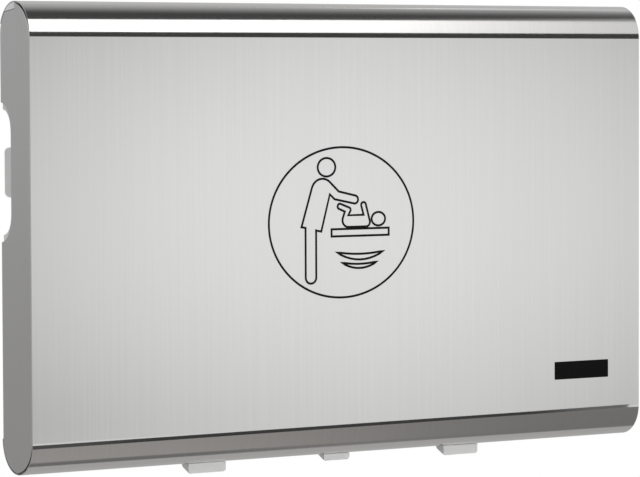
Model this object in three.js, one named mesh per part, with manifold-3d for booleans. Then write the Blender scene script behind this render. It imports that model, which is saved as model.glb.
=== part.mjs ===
import * as THREE from 'three';
import { mergeVertices } from 'three/addons/utils/BufferGeometryUtils.js';
import Module from 'manifold-3d';

const wasm = await Module();
wasm.setup();

// A fold-down baby changing station for a wall, drawn folded up, in millimetres.
// X runs to the right, Y into the wall and Z up. The wall's face is y = 0, and the origin is on the back of
// the chassis plate, level with the middle of the cover.

// Cover: a sheet rolled round at the top and the bottom, between two flat ends
const COVER_WIDTH = 950;
const COVER_HEIGHT = 603;
const COVER_DEPTH = 86.4;
const SKIN_SHEET = 1.2;
const CAP_SHEET = 3;
const GRIP_LIP_ANGLE = 20;
const WALL_GAP = 3;
const FIT_GAP = 0.3;

// Scoop in the rear edge of each end
const SCOOP_CENTRE_Z = 83.5;
const SCOOP = { length: 178, flat: 100, depth: 28 };

// Moulded trim inside each end, with a smaller scoop that lines the end's own
const TRIM_SHEET = 3.5;
const TRIM_SCOOP = { length: 160, flat: 94, depth: 24 };

// Relief at the upper rear corner of each end, from the middle of the roll back
const RELIEF_DROP = 10;
const RELIEF_FALL = 5;

// Chassis plate and rear tray on the wall
const CHASSIS_SHEET = 1.5;
const CHASSIS_INSET = 6;
const APRON_MARGIN = 14;
const TRAY_DEPTH = 26;
const TRAY_WALL = 4;
const TRAY_BORDER = 32;
const TRAY_RECESS = 14;
const TRAY_CORNER = 24;
const TRAY_TOP_MARGIN = 52;
const TRAY_FOOT_CLEARANCE = 9;
const SIDE_CHANNEL = 34;
const WALL_SCREW_RADIUS = 4;
const WALL_SCREW_SIDE_INSET = 108;
const WALL_SCREW_INSET = 68;
const SCREW_BOSS_WALL = 5;

// Hinge
const ARM_SHEET = 5;
const ARM_HEIGHT = 165;
const ARM_KNEE_RISE = 93;
const ARM_LEG_RISE = 63;
const ARM_LEG_REACH = 18;
const ARM_LEG_CLEARANCE = 4;
const ARM_SOLE_CLEARANCE = 2.5;
const ARM_BOSS_RADIUS = 24;
const ARM_NOTCH_CLEARANCE = 6;
const ARM_BOLT_RADIUS = 3;
const ARM_BOLT_INSET = 14;
const BRACKET_SHEET = 4;
const BRACKET_WIDTH = 50;
const BRACKET_HEIGHT = 100;
const PIN_RADIUS = 6;
const PIN_COLLAR = 3;
const BUSH_WALL = 2.2;
const BUSH_FLANGE = 2.5;
const BUSH_FLANGE_SHEET = 1.5;
const DAMPER_RADIUS = 15;
const DAMPER_LENGTH = 20;
const DAMPER_FLANGE_RADIUS = 22;
const DAMPER_FLANGE_SHEET = 4;
const PEG_RADIUS = 4;
const PEG_ORBIT = 18;
const PEG_LENGTH = 9;
const ARM_PEG_ANGLE = 160;
const BED_TRAVEL = 90;

// Support blocks under the rolled bottom edge
const BLOCK_PITCH = 200;
const BLOCK_FACE_DEPTH = 40;
const OUTER_BLOCK = { width: 56, drop: 13.6 };
const CENTRE_BLOCK = { width: 40, drop: 9.4 };
const BLOCK_HEEL_RISE = 5.5;
const BLOCK_BOW_DEPTH = 16.8;
const BLOCK_BOW_RISE = 8;
const BLOCK_NECK_DEPTH = 21;
const BLOCK_NECK_RISE = 0.6;
const BLOCK_WRAP_END = -35;
const BLOCK_ROUND = 4.5;
const BLOCK_EDGE = 1.5;
const BLOCK_RUN_GAP = 0.5;

// Bag hook behind each scoop
const HOOK_HEIGHT = 64;
const HOOK_WIDTH = 20;
const HOOK_WALL = 4.4;
const HOOK_FLOOR = 6;
const HOOK_NOSE_DEPTH = 15;
const HOOK_NOSE_DROP = 6.5;
const HOOK_CAP_CLEARANCE = 2.6;
const HOOK_WALL_CLEARANCE = 2;

// Bed tub
const TUB_WALL = 3.5;
const RIM_CLEARANCE = 7;
const BASIN_MARGIN = 24;
const BASIN_SLOPE = 90;
const BASIN_CORNER = 60;
const LIP_GAP = 6;
const LIP_END_ANGLE = 5;
const LIP_CLEARANCE = 1;
const STIFFENER_DEPTH = 12;
const STIFFENER_WIDTH = 34;
const STIFFENER_SHEET = 1.5;
const STIFFENER_END_GAP = 72;
const STIFFENER_SPREAD = 220;
const LEDGE_SHEET = 2;
const LEDGE_REACH = 20;
const LEDGE_LEG = 22;
const LEDGE_END_MARGIN = 12;
const TUB_SCREW_RADIUS = 2;
const TUB_SCREW_LENGTH = 12;
const TUB_SCREW_INSET = 40;

// Catches and buffers between tray and tub
const MAGNET_WIDTH = 44;
const MAGNET_HEIGHT = 14;
const MAGNET_CORNER = 1;
const MAGNET_INSET = 138;
const MAGNET_AIR_GAP = 0.5;
const STRIKE_SHEET = 1;
const BUFFER_RADIUS = 6;
const BUFFER_AIR_GAP = 0.5;

// Safety strap and its press-button buckle
const STRAP_WIDTH = 38;
const STRAP_SHEET = 1.6;
const ANCHOR_WIDTH = 56;
const ANCHOR_HEIGHT = 16;
const ANCHOR_SHEET = 2.5;
const ANCHOR_INSET = 9;
const BUCKLE_WIDTH = 50;
const BUCKLE_THICKNESS = 16;
const BUCKLE_ROUND = 5;
const SOCKET_LENGTH = 42;
const PLUG_LENGTH = 24;
const PLUG_THICKNESS = 9;
const TONGUE_WIDTH = 24;
const TONGUE_LENGTH = 26;
const TONGUE_THICKNESS = 4;
const TONGUE_BED = 3.5;
const BUTTON_WIDTH = 24;
const BUTTON_LENGTH = 16;
const BUTTON_THICKNESS = 4.5;
const BUTTON_CORNER = 1.5;
const BUTTON_PROUD = 1.2;
const BUTTON_TRAVEL = 2.5;

// Lift-off cover of the paper liners, held by two rails
const LINER_COVER_WIDTH = 380;
const LINER_COVER_HEIGHT = 130;
const LINER_COVER_DEPTH = 26;
const LINER_COVER_WALL = 2.5;
const LINER_COVER_CENTRE_Z = 10;
const LINER_COVER_CORNER = 10;
const LINER_FLANGE = 8;
const LINER_FLANGE_SHEET = 3;
const LINER_SLOT_WIDTH = 240;
const LINER_SLOT_HEIGHT = 34;
const RAIL_FOOT = 6;
const RAIL_LIP_SHEET = 2;
const RAIL_STOP = 4;

// Small plain plate on the front
const BADGE_WIDTH = 90.5;
const BADGE_HEIGHT = 24.6;
const BADGE_SHEET = 0.8;
const BADGE_CORNER = 1;
const BADGE_FILM = 0.1;
const BADGE_SIDE_INSET = 99.2;
const BADGE_RISE = 97.7;

// Pan-head screws, in radii of the shank
const HEAD_RADIUS = 1.8;
const HEAD_SHOULDER = 1.7;
const HEAD_SHOULDER_HEIGHT = 0.8;
const HEAD_CROWN = 1.1;
const HEAD_HEIGHT = 1.2;

// Facets, and how far a cut runs past the solid
const ROLL_STEPS = 11;
const CORNER_STEPS = 3;
const ROUND_SIDES = 20;
const SCREW_SIDES = 12;
const SHORTEST_STEP = 1;
const MERGE_DISTANCE = 1e-4;
const OVERRUN = 1;

// Places that follow from the sizes
const EDGE_RADIUS = COVER_DEPTH / 2;
const AXIS_Y = -(WALL_GAP + EDGE_RADIUS);
const AXIS_Z = EDGE_RADIUS - COVER_HEIGHT / 2;
const TOP_ROLL_Z = -AXIS_Z;
const FRONT_Y = -(WALL_GAP + COVER_DEPTH);
const CAP_INNER_X = COVER_WIDTH / 2 - CAP_SHEET;
const TRAY_BACK_Y = -(CHASSIS_SHEET + FIT_GAP);
const TRAY_FRONT_Y = TRAY_BACK_Y - TRAY_DEPTH;
const TRAY_FLOOR_Y = TRAY_FRONT_Y + TRAY_RECESS;
const TRAY_HALF_X = CAP_INNER_X - SIDE_CHANNEL;
const WALL_SCREW_X = TRAY_HALF_X - WALL_SCREW_SIDE_INSET;
const TRAY_TOP_Z = COVER_HEIGHT / 2 - TRAY_TOP_MARGIN;
const TRAY_FOOT_Z = AXIS_Z + EDGE_RADIUS + TRAY_FOOT_CLEARANCE;
const BRACKET_INNER_X = CAP_INNER_X - FIT_GAP - BRACKET_SHEET;
const ARM_OUTER_X = BRACKET_INNER_X - PEG_LENGTH - 2 * FIT_GAP;
const ARM_INNER_X = ARM_OUTER_X - ARM_SHEET;
const ARM_SOLE_Z = AXIS_Z + EDGE_RADIUS + ARM_SOLE_CLEARANCE;
const ARM_TOP_Z = AXIS_Z + ARM_HEIGHT;
const ARM_KNEE_Z = AXIS_Z + ARM_KNEE_RISE;
const ARM_FLANGE_X = TRAY_HALF_X + FIT_GAP;
const ARM_BOLT_X = (ARM_FLANGE_X + ARM_INNER_X) / 2;
const APRON_HALF_X = BLOCK_PITCH + OUTER_BLOCK.width / 2 + APRON_MARGIN;
const CHASSIS_FOOT_Z = CHASSIS_INSET - COVER_HEIGHT / 2;
const BUSH_RADIUS = PIN_RADIUS + FIT_GAP + BUSH_WALL;
const RIM_Y = TRAY_FRONT_Y - RIM_CLEARANCE;
const BASIN_FLOOR_Y = FRONT_Y + SKIN_SHEET + STIFFENER_DEPTH + 2 * FIT_GAP + TUB_WALL;
const BASIN_HALF_X = TRAY_HALF_X - BASIN_MARGIN;
const BASIN_TOP_Z = TRAY_TOP_Z - BASIN_MARGIN;
const BASIN_FOOT_Z = TRAY_FOOT_Z + BASIN_MARGIN;
const BASIN_CENTRE_Z = (BASIN_TOP_Z + BASIN_FOOT_Z) / 2;
const BASIN_HALF_Z = (BASIN_TOP_Z - BASIN_FOOT_Z) / 2;
const LIP_TOP_Z = TRAY_FOOT_Z - LIP_GAP;
const [LIP_END_Y, LIP_END_Z] = fromAxis(EDGE_RADIUS - SKIN_SHEET - LIP_CLEARANCE, LIP_END_ANGLE);
const ROLL_CLEAR_RADIUS = EDGE_RADIUS - SKIN_SHEET - FIT_GAP;
const TUB_HALF_X = CAP_INNER_X - FIT_GAP;
const TUB_TOP_Z = TOP_ROLL_Z + Math.sqrt(ROLL_CLEAR_RADIUS ** 2 - (RIM_Y - AXIS_Y) ** 2) - FIT_GAP;
const NOTCH_X = ARM_INNER_X - ARM_NOTCH_CLEARANCE;
const NOTCH_TOP_Z = AXIS_Z + Math.max(ARM_KNEE_RISE, BRACKET_HEIGHT) + ARM_NOTCH_CLEARANCE;
const LEDGE_FACE_Y = RIM_Y - TUB_WALL - FIT_GAP;
const LEDGE_FOOT_Z = NOTCH_TOP_Z + LEDGE_END_MARGIN;
const LEDGE_TOP_Z = TUB_TOP_Z - LEDGE_END_MARGIN;
const SIDES = { left: -1, right: 1 };
const LEVELS = ['upper', 'lower'];
const WALL_SCREW_Z = { upper: TRAY_TOP_Z - WALL_SCREW_INSET, lower: TRAY_FOOT_Z + WALL_SCREW_INSET };
const ARM_BOLT_Z = { upper: ARM_TOP_Z - ARM_BOLT_INSET, lower: ARM_SOLE_Z + ARM_BOLT_INSET };
const TUB_SCREW_Z = { upper: LEDGE_TOP_Z - TUB_SCREW_INSET, lower: LEDGE_FOOT_Z + TUB_SCREW_INSET };
const BUFFER_Z = { upper: TRAY_TOP_Z - TRAY_CORNER, lower: TRAY_FOOT_Z + TRAY_CORNER };

// Materials
const finish = (color, roughness, metalness) =>
  new THREE.MeshStandardMaterial({ color, roughness, metalness });
const BRUSHED_STEEL = finish(0xc9cbcd, 0.38, 1);
const BRIGHT_STEEL = finish(0xb5b8bb, 0.3, 1);
const GALVANISED_STEEL = finish(0x9aa0a4, 0.5, 1);
const GREY_MOULDING = finish(0xc6c8ca, 0.55, 0);
const PALE_MOULDING = finish(0xe4e5e3, 0.5, 0);
const DARK_MOULDING = finish(0x2b2d30, 0.55, 0);
const RED_MOULDING = finish(0xb3261e, 0.45, 0);
const RUBBER = finish(0x1f2022, 0.85, 0);
const WEBBING = finish(0x3a3f47, 0.9, 0);
const BLACK_PLATE = finish(0x151617, 0.4, 0);

// Solids and booleans

function toSolid(geometry) {
  const bare = geometry.clone();
  bare.deleteAttribute('normal');
  bare.deleteAttribute('uv');
  const merged = mergeVertices(bare, MERGE_DISTANCE);
  const mesh = new wasm.Mesh({
    numProp: 3,
    vertProperties: new Float32Array(merged.attributes.position.array),
    triVerts: new Uint32Array(merged.index.array),
  });
  return new wasm.Manifold(mesh);
}

function toGeometry(solid) {
  const mesh = solid.getMesh();
  const geometry = new THREE.BufferGeometry();
  geometry.setAttribute('position', new THREE.BufferAttribute(mesh.vertProperties, 3));
  geometry.setIndex(new THREE.BufferAttribute(mesh.triVerts, 1));
  geometry.computeVertexNormals();
  return geometry;
}

const join = (first, ...others) =>
  toGeometry(others.reduce((solid, other) => solid.add(toSolid(other)), toSolid(first)));
const cut = (first, ...tools) =>
  toGeometry(tools.reduce((solid, tool) => solid.subtract(toSolid(tool)), toSolid(first)));
const common = (first, second) => toGeometry(toSolid(first).intersect(toSolid(second)));

// Shapes

function fromAxis(radius, degrees) {
  const angle = THREE.MathUtils.degToRad(degrees);
  return [AXIS_Y + radius * Math.cos(angle), AXIS_Z + radius * Math.sin(angle)];
}

function roundedRect(u0, u1, v0, v1, radius) {
  const outline = new THREE.Shape();
  outline.absarc(u1 - radius, v0 + radius, radius, -Math.PI / 2, 0);
  outline.absarc(u1 - radius, v1 - radius, radius, 0, Math.PI / 2);
  outline.absarc(u0 + radius, v1 - radius, radius, Math.PI / 2, Math.PI);
  outline.absarc(u0 + radius, v0 + radius, radius, Math.PI, 1.5 * Math.PI);
  return outline;
}

const polygon = (points) => new THREE.Shape(points.map(([u, v]) => new THREE.Vector2(u, v)));

const UNIT_X = new THREE.Vector3(1, 0, 0);
const UNIT_Y = new THREE.Vector3(0, 1, 0);
const UNIT_Z = new THREE.Vector3(0, 0, 1);
const ALONG_X = new THREE.Matrix4().makeBasis(UNIT_Y, UNIT_Z, UNIT_X);
const ALONG_Y = new THREE.Matrix4().makeBasis(UNIT_X, UNIT_Z, UNIT_Y.clone().negate());

function extrude(outline, depth, curveSegments) {
  return new THREE.ExtrudeGeometry(outline, { depth, curveSegments, bevelEnabled: false });
}

// A prism along X, from an outline drawn in (y, z)
const prismX = (outline, x0, x1, steps = CORNER_STEPS) =>
  extrude(outline, x1 - x0, steps).applyMatrix4(ALONG_X).translate(x0, 0, 0);

// A prism along Y, from an outline drawn in (x, z)
const prismY = (outline, y0, y1, steps = CORNER_STEPS) =>
  extrude(outline, y1 - y0, steps).applyMatrix4(ALONG_Y).translate(0, y1, 0);

// A prism along Z, from an outline drawn in (x, y)
const prismZ = (outline, z0, z1, steps = CORNER_STEPS) =>
  extrude(outline, z1 - z0, steps).translate(0, 0, z0);

const block = (x0, x1, y0, y1, z0, z1) =>
  new THREE.BoxGeometry(Math.abs(x1 - x0), Math.abs(y1 - y0), Math.abs(z1 - z0))
    .translate((x0 + x1) / 2, (y0 + y1) / 2, (z0 + z1) / 2);

const roundX = (radius, x0, x1, y, z, sides = ROUND_SIDES) =>
  new THREE.CylinderGeometry(radius, radius, Math.abs(x1 - x0), sides)
    .rotateZ(Math.PI / 2)
    .translate((x0 + x1) / 2, y, z);

const roundY = (radius, x, y0, y1, z, sides = SCREW_SIDES) =>
  new THREE.CylinderGeometry(radius, radius, Math.abs(y1 - y0), sides)
    .translate(x, (y0 + y1) / 2, z);

// A pan-head screw whose shank runs along +Y, with the head's seat at the origin
function screw(radius, length) {
  const head = [
    [0, -HEAD_HEIGHT], [HEAD_CROWN, -HEAD_HEIGHT], [HEAD_SHOULDER, -HEAD_SHOULDER_HEIGHT], [HEAD_RADIUS, 0],
    [1, 0],
  ].map(([across, along]) => new THREE.Vector2(across * radius, along * radius));
  const shank = [new THREE.Vector2(radius, length), new THREE.Vector2(0, length)];
  return new THREE.LatheGeometry([...head, ...shank], SCREW_SIDES);
}

// A closed sheet over a grid: its face towards the wall follows surface(x, z)
function gridSheet(xs, zs, surface, thickness) {
  const points = [];
  const faces = [];
  const rows = zs.length;
  const layer = xs.length * rows;
  for (const drop of [0, thickness]) {
    for (const x of xs) for (const z of zs) points.push(x, surface(x, z) - drop, z);
  }
  const quad = (a, b, c, d) => faces.push(a, b, c, a, c, d);
  for (let i = 0; i + 1 < xs.length; i += 1) {
    for (let j = 0; j + 1 < rows; j += 1) {
      const corner = i * rows + j;
      quad(corner, corner + 1, corner + rows + 1, corner + rows);
      quad(layer + corner, layer + corner + rows, layer + corner + rows + 1, layer + corner + 1);
    }
    const near = i * rows;
    const far = near + rows - 1;
    quad(near, near + rows, layer + near + rows, layer + near);
    quad(far + rows, far, layer + far, layer + far + rows);
  }
  for (let j = 0; j + 1 < rows; j += 1) {
    const last = layer - rows + j;
    quad(j + 1, j, layer + j, layer + j + 1);
    quad(last, last + 1, layer + last + 1, layer + last);
  }
  const geometry = new THREE.BufferGeometry();
  geometry.setAttribute('position', new THREE.Float32BufferAttribute(points, 3));
  geometry.setIndex(faces);
  geometry.computeVertexNormals();
  return geometry;
}

// Values from the first to the last stop, with each stretch split into its own count of steps
function stations(start, ...stretches) {
  const values = [start];
  for (const [end, steps] of stretches) {
    const from = values.at(-1);
    for (let step = 1; step <= steps; step += 1) values.push(from + ((end - from) * step) / steps);
  }
  return values;
}

function mesh(name, geometry, material) {
  const made = new THREE.Mesh(geometry, material);
  made.name = name;
  return made;
}

const bothSides = (make) => Object.keys(SIDES).map(make);

// The stretch between two distances from the middle, on one side, in rising order
const sideSpan = (side, near, far) => (side === 'left' ? [-far, -near] : [near, far]);

// Four like pieces or holes: an upper and a lower one on each side
const atCorners = (make) => bothSides((side) => LEVELS.map((level) => make(side, level))).flat();

// Cover pieces

function frontSkin() {
  const inner = EDGE_RADIUS - SKIN_SHEET;
  const lip = THREE.MathUtils.degToRad(GRIP_LIP_ANGLE);
  const outline = new THREE.Shape();
  outline.absarc(AXIS_Y, AXIS_Z, EDGE_RADIUS, 0, -Math.PI, true);
  outline.absarc(AXIS_Y, TOP_ROLL_Z, EDGE_RADIUS, Math.PI, lip, true);
  outline.absarc(AXIS_Y, TOP_ROLL_Z, inner, lip, Math.PI);
  outline.absarc(AXIS_Y, AXIS_Z, inner, -Math.PI, 0);
  return mesh('front_skin', prismX(outline, -COVER_WIDTH / 2, COVER_WIDTH / 2, ROLL_STEPS), BRUSHED_STEEL);
}

// The outline of an end that sits inside the skin, with a scoop in its rear edge
function endOutline({ length, flat, depth }) {
  const rear = AXIS_Y + ROLL_CLEAR_RADIUS;
  const lip = THREE.MathUtils.degToRad(GRIP_LIP_ANGLE);
  const end = (length - flat) / 2;
  const outline = new THREE.Shape();
  outline.absarc(AXIS_Y, AXIS_Z, ROLL_CLEAR_RADIUS, 0, -Math.PI, true);
  outline.absarc(AXIS_Y, TOP_ROLL_Z, ROLL_CLEAR_RADIUS, Math.PI, lip, true);
  outline.absarc(AXIS_Y, TOP_ROLL_Z, ROLL_CLEAR_RADIUS, lip, 0, true);
  outline.absellipse(rear, SCOOP_CENTRE_Z + flat / 2, depth, end, Math.PI / 2, Math.PI);
  outline.absellipse(rear, SCOOP_CENTRE_Z - flat / 2, depth, end, Math.PI, 1.5 * Math.PI);
  return outline;
}

// The corner cut out of each end behind the grip lip, or a little less of it
function reliefOutline(clearance) {
  const top = COVER_HEIGHT / 2;
  const front = AXIS_Y + clearance;
  const foot = top - RELIEF_DROP + clearance;
  return polygon([[front, top], [front, foot], [0, foot - RELIEF_FALL], [0, top]]);
}

// Each end is flush with the skin's edge
function endCap(side) {
  const plate = prismX(endOutline(SCOOP), ...sideSpan(side, CAP_INNER_X, COVER_WIDTH / 2), ROLL_STEPS);
  const past = sideSpan(side, CAP_INNER_X - OVERRUN, COVER_WIDTH / 2 + OVERRUN);
  const relief = prismX(reliefOutline(0), ...past);
  return mesh(`end_cap_${side}`, cut(plate, relief), BRUSHED_STEEL);
}

// A wall on the tub's rim, close to the end, with a corner that stands flush in the end's relief
function sideTrim(side) {
  const inner = TUB_HALF_X - TRIM_SHEET;
  const full = prismX(endOutline(TRIM_SCOOP), ...sideSpan(side, inner, COVER_WIDTH / 2), ROLL_STEPS);
  const behindRim = block(SIDES[side] * inner, SIDES[side] * TUB_HALF_X, RIM_Y + FIT_GAP, 0, NOTCH_TOP_Z,
    COVER_HEIGHT / 2);
  const relief = prismX(reliefOutline(FIT_GAP), ...sideSpan(side, inner, COVER_WIDTH / 2));
  const tubRoom = block(0, SIDES[side] * CAP_INNER_X, FRONT_Y, RIM_Y + FIT_GAP, 0, COVER_HEIGHT);
  return mesh(`side_trim_${side}`, join(common(full, behindRim), cut(common(full, relief), tubRoom)),
    PALE_MOULDING);
}

function stiffener(name, z) {
  const half = STIFFENER_WIDTH / 2;
  const back = FRONT_Y + SKIN_SHEET + FIT_GAP;
  const end = CAP_INNER_X - STIFFENER_END_GAP;
  const outer = block(-end, end, back, back + STIFFENER_DEPTH, z - half, z + half);
  const inner = block(-end - OVERRUN, end + OVERRUN, back - OVERRUN, back + STIFFENER_DEPTH - STIFFENER_SHEET,
    z - half + STIFFENER_SHEET, z + half - STIFFENER_SHEET);
  return mesh(name, cut(outer, inner), GALVANISED_STEEL);
}

function badgePlate() {
  const x = COVER_WIDTH / 2 - BADGE_SIDE_INSET;
  const z = BADGE_RISE - COVER_HEIGHT / 2;
  const outline = roundedRect(x - BADGE_WIDTH / 2, x + BADGE_WIDTH / 2, z - BADGE_HEIGHT / 2,
    z + BADGE_HEIGHT / 2, BADGE_CORNER);
  const back = FRONT_Y - BADGE_FILM;
  return mesh('badge_plate', prismY(outline, back - BADGE_SHEET, back), BLACK_PLATE);
}

// Bed tub: a moulded basin with a flat rim, and a lip that closes the gap above the rolled bottom edge

function tubSurface(x, z) {
  const dx = Math.abs(x) - BASIN_HALF_X + BASIN_CORNER;
  const dz = Math.abs(z - BASIN_CENTRE_Z) - BASIN_HALF_Z + BASIN_CORNER;
  const round = Math.hypot(Math.max(dx, 0), Math.max(dz, 0)) + Math.min(Math.max(dx, dz), 0);
  const basin = THREE.MathUtils.smoothstep(BASIN_CORNER - round, 0, BASIN_SLOPE);
  const lip = THREE.MathUtils.smoothstep(LIP_TOP_Z - z, 0, LIP_TOP_Z - LIP_END_Z);
  return RIM_Y + (BASIN_FLOOR_Y - RIM_Y) * basin + (LIP_END_Y - RIM_Y) * lip;
}

const TUB_XS = stations(-TUB_HALF_X, [-BASIN_HALF_X, 1], [BASIN_SLOPE - BASIN_HALF_X, 6],
  [BASIN_HALF_X - BASIN_SLOPE, 6], [BASIN_HALF_X, 6], [TUB_HALF_X, 1]);
const TUB_ZS = stations(LIP_END_Z, [LIP_TOP_Z, 6], [BASIN_FOOT_Z, 1], [BASIN_FOOT_Z + BASIN_SLOPE, 6],
  [BASIN_TOP_Z - BASIN_SLOPE, 4], [BASIN_TOP_Z, 6], [TUB_TOP_Z, 2]);
const TUB_SCREW_X = TUB_HALF_X - LEDGE_SHEET - LEDGE_REACH / 2;

const tubScrewHole = (side, level) => roundY(TUB_SCREW_RADIUS + FIT_GAP, SIDES[side] * TUB_SCREW_X,
  LEDGE_FACE_Y - LEDGE_LEG, RIM_Y + OVERRUN, TUB_SCREW_Z[level]);

function bedTub() {
  const shell = gridSheet(TUB_XS, TUB_ZS, tubSurface, TUB_WALL);
  const notches = Object.values(SIDES).map((sign) => block(sign * NOTCH_X, sign * COVER_WIDTH / 2,
    FRONT_Y, 0, LIP_END_Z - LIP_GAP, NOTCH_TOP_Z));
  return mesh('bed_tub', cut(shell, ...notches, ...atCorners(tubScrewHole)), PALE_MOULDING);
}

// An angle on the inside of each end, under the tub's rim
function tubLedge(side) {
  const sign = SIDES[side];
  const wall = sign * TUB_HALF_X;
  const shelf = block(wall, wall - sign * (LEDGE_REACH + LEDGE_SHEET), LEDGE_FACE_Y - LEDGE_SHEET,
    LEDGE_FACE_Y, LEDGE_FOOT_Z, LEDGE_TOP_Z);
  const leg = block(wall, wall - sign * LEDGE_SHEET, LEDGE_FACE_Y - LEDGE_LEG, LEDGE_FACE_Y, LEDGE_FOOT_Z,
    LEDGE_TOP_Z);
  const holes = LEVELS.map((level) => tubScrewHole(side, level));
  return mesh(`tub_ledge_${side}`, cut(join(shelf, leg), ...holes), GALVANISED_STEEL);
}

function tubScrew(side, level) {
  const geometry = screw(TUB_SCREW_RADIUS, TUB_SCREW_LENGTH)
    .rotateX(Math.PI)
    .translate(SIDES[side] * TUB_SCREW_X, RIM_Y + FIT_GAP, TUB_SCREW_Z[level]);
  return mesh(`tub_screw_${side}_${level}`, geometry, BRIGHT_STEEL);
}

// Hinge pieces. A peg on each arm stops a peg on each bracket when the bed is level.

const PEG_SEPARATION = 2 * THREE.MathUtils.radToDeg(
  Math.asin((2 * PEG_RADIUS + FIT_GAP) / (2 * PEG_ORBIT)));

const armBoltHole = (side, level) => roundY(ARM_BOLT_RADIUS + FIT_GAP, SIDES[side] * ARM_BOLT_X,
  TRAY_FRONT_Y, CHASSIS_SHEET, ARM_BOLT_Z[level]);

function hingeArm(side) {
  const sign = SIDES[side];
  const inner = sign * ARM_INNER_X;
  const outer = sign * ARM_OUTER_X;
  const upperFront = TRAY_FRONT_Y + FIT_GAP;
  const legBack = AXIS_Y - ARM_LEG_CLEARANCE;
  const legFront = AXIS_Y - ARM_LEG_REACH;
  const plate = prismX(polygon([
    [TRAY_BACK_Y, ARM_TOP_Z], [TRAY_BACK_Y, ARM_SOLE_Z], [legBack, ARM_SOLE_Z], [legBack, AXIS_Z],
    [legFront, AXIS_Z], [legFront, AXIS_Z + ARM_LEG_RISE], [upperFront, ARM_KNEE_Z], [upperFront, ARM_TOP_Z],
  ]), ...sideSpan(side, ARM_INNER_X, ARM_OUTER_X));
  const flange = block(outer, sign * ARM_FLANGE_X, TRAY_BACK_Y - ARM_SHEET, TRAY_BACK_Y, ARM_SOLE_Z,
    ARM_TOP_Z);
  const boss = roundX(ARM_BOSS_RADIUS, inner, outer, AXIS_Y, AXIS_Z, 2 * ROUND_SIDES);
  const peg = roundX(PEG_RADIUS, inner, outer + sign * PEG_LENGTH, ...fromAxis(PEG_ORBIT, ARM_PEG_ANGLE));
  const bore = roundX(BUSH_RADIUS + FIT_GAP, inner - sign * OVERRUN, outer + sign * OVERRUN, AXIS_Y, AXIS_Z);
  const holes = LEVELS.map((level) => armBoltHole(side, level));
  return mesh(`hinge_arm_${side}`, cut(join(plate, flange, boss, peg), bore, ...holes), GALVANISED_STEEL);
}

function armBush(side) {
  const sign = SIDES[side];
  const outer = sign * ARM_OUTER_X;
  const barrel = roundX(BUSH_RADIUS, sign * (ARM_INNER_X + FIT_GAP), outer + sign * FIT_GAP, AXIS_Y, AXIS_Z);
  const flange = roundX(BUSH_RADIUS + BUSH_FLANGE, outer + sign * FIT_GAP,
    outer + sign * (FIT_GAP + BUSH_FLANGE_SHEET), AXIS_Y, AXIS_Z);
  const bore = roundX(PIN_RADIUS + FIT_GAP, sign * (ARM_INNER_X - OVERRUN), sign * BRACKET_INNER_X,
    AXIS_Y, AXIS_Z);
  return mesh(`arm_bush_${side}`, cut(join(barrel, flange), bore), DARK_MOULDING);
}

function damper(side) {
  const sign = SIDES[side];
  const face = sign * (ARM_INNER_X - FIT_GAP);
  const flangeEnd = face - sign * DAMPER_FLANGE_SHEET;
  const end = flangeEnd - sign * DAMPER_LENGTH;
  const flange = roundX(DAMPER_FLANGE_RADIUS, face, flangeEnd, AXIS_Y, AXIS_Z);
  const barrel = roundX(DAMPER_RADIUS, face, end, AXIS_Y, AXIS_Z);
  const bore = roundX(PIN_RADIUS + FIT_GAP, face + sign * OVERRUN, end + sign * DAMPER_FLANGE_SHEET,
    AXIS_Y, AXIS_Z);
  return mesh(`damper_${side}`, cut(join(flange, barrel), bore), DARK_MOULDING);
}

function hingePin(side) {
  const sign = SIDES[side];
  const tail = ARM_INNER_X - DAMPER_LENGTH;
  const collarStart = ARM_OUTER_X + 2 * FIT_GAP + BUSH_FLANGE_SHEET;
  const shaft = roundX(PIN_RADIUS, sign * tail, sign * (CAP_INNER_X - FIT_GAP), AXIS_Y, AXIS_Z);
  const collar = roundX(PIN_RADIUS + PIN_COLLAR, sign * collarStart, sign * (BRACKET_INNER_X - FIT_GAP),
    AXIS_Y, AXIS_Z);
  return mesh(`hinge_pin_${side}`, join(shaft, collar), BRIGHT_STEEL);
}

function hingeBracket(side) {
  const sign = SIDES[side];
  const inner = sign * BRACKET_INNER_X;
  const outer = inner + sign * BRACKET_SHEET;
  const outline = new THREE.Shape();
  outline.absarc(AXIS_Y, AXIS_Z, BRACKET_WIDTH / 2, -Math.PI, 0);
  outline.lineTo(AXIS_Y + BRACKET_WIDTH / 2, AXIS_Z + BRACKET_HEIGHT);
  outline.lineTo(AXIS_Y - BRACKET_WIDTH / 2, AXIS_Z + BRACKET_HEIGHT);
  const span = sideSpan(side, BRACKET_INNER_X, BRACKET_INNER_X + BRACKET_SHEET);
  const plate = prismX(outline, ...span, ROLL_STEPS);
  const pegAngle = ARM_PEG_ANGLE - PEG_SEPARATION - BED_TRAVEL;
  const peg = roundX(PEG_RADIUS, inner - sign * PEG_LENGTH, outer, ...fromAxis(PEG_ORBIT, pegAngle));
  const bore = roundX(PIN_RADIUS + FIT_GAP, inner - sign * OVERRUN, outer + sign * OVERRUN, AXIS_Y, AXIS_Z);
  return mesh(`hinge_bracket_${side}`, cut(join(plate, peg), bore), GALVANISED_STEEL);
}

function armBolt(side, level) {
  const seat = TRAY_BACK_Y - ARM_SHEET - FIT_GAP;
  const geometry = screw(ARM_BOLT_RADIUS, -FIT_GAP - seat)
    .translate(SIDES[side] * ARM_BOLT_X, seat, ARM_BOLT_Z[level]);
  return mesh(`arm_bolt_${side}_${level}`, geometry, BRIGHT_STEEL);
}

// Support blocks: each cradles the rolled bottom edge from below and sits on the chassis plate

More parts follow.
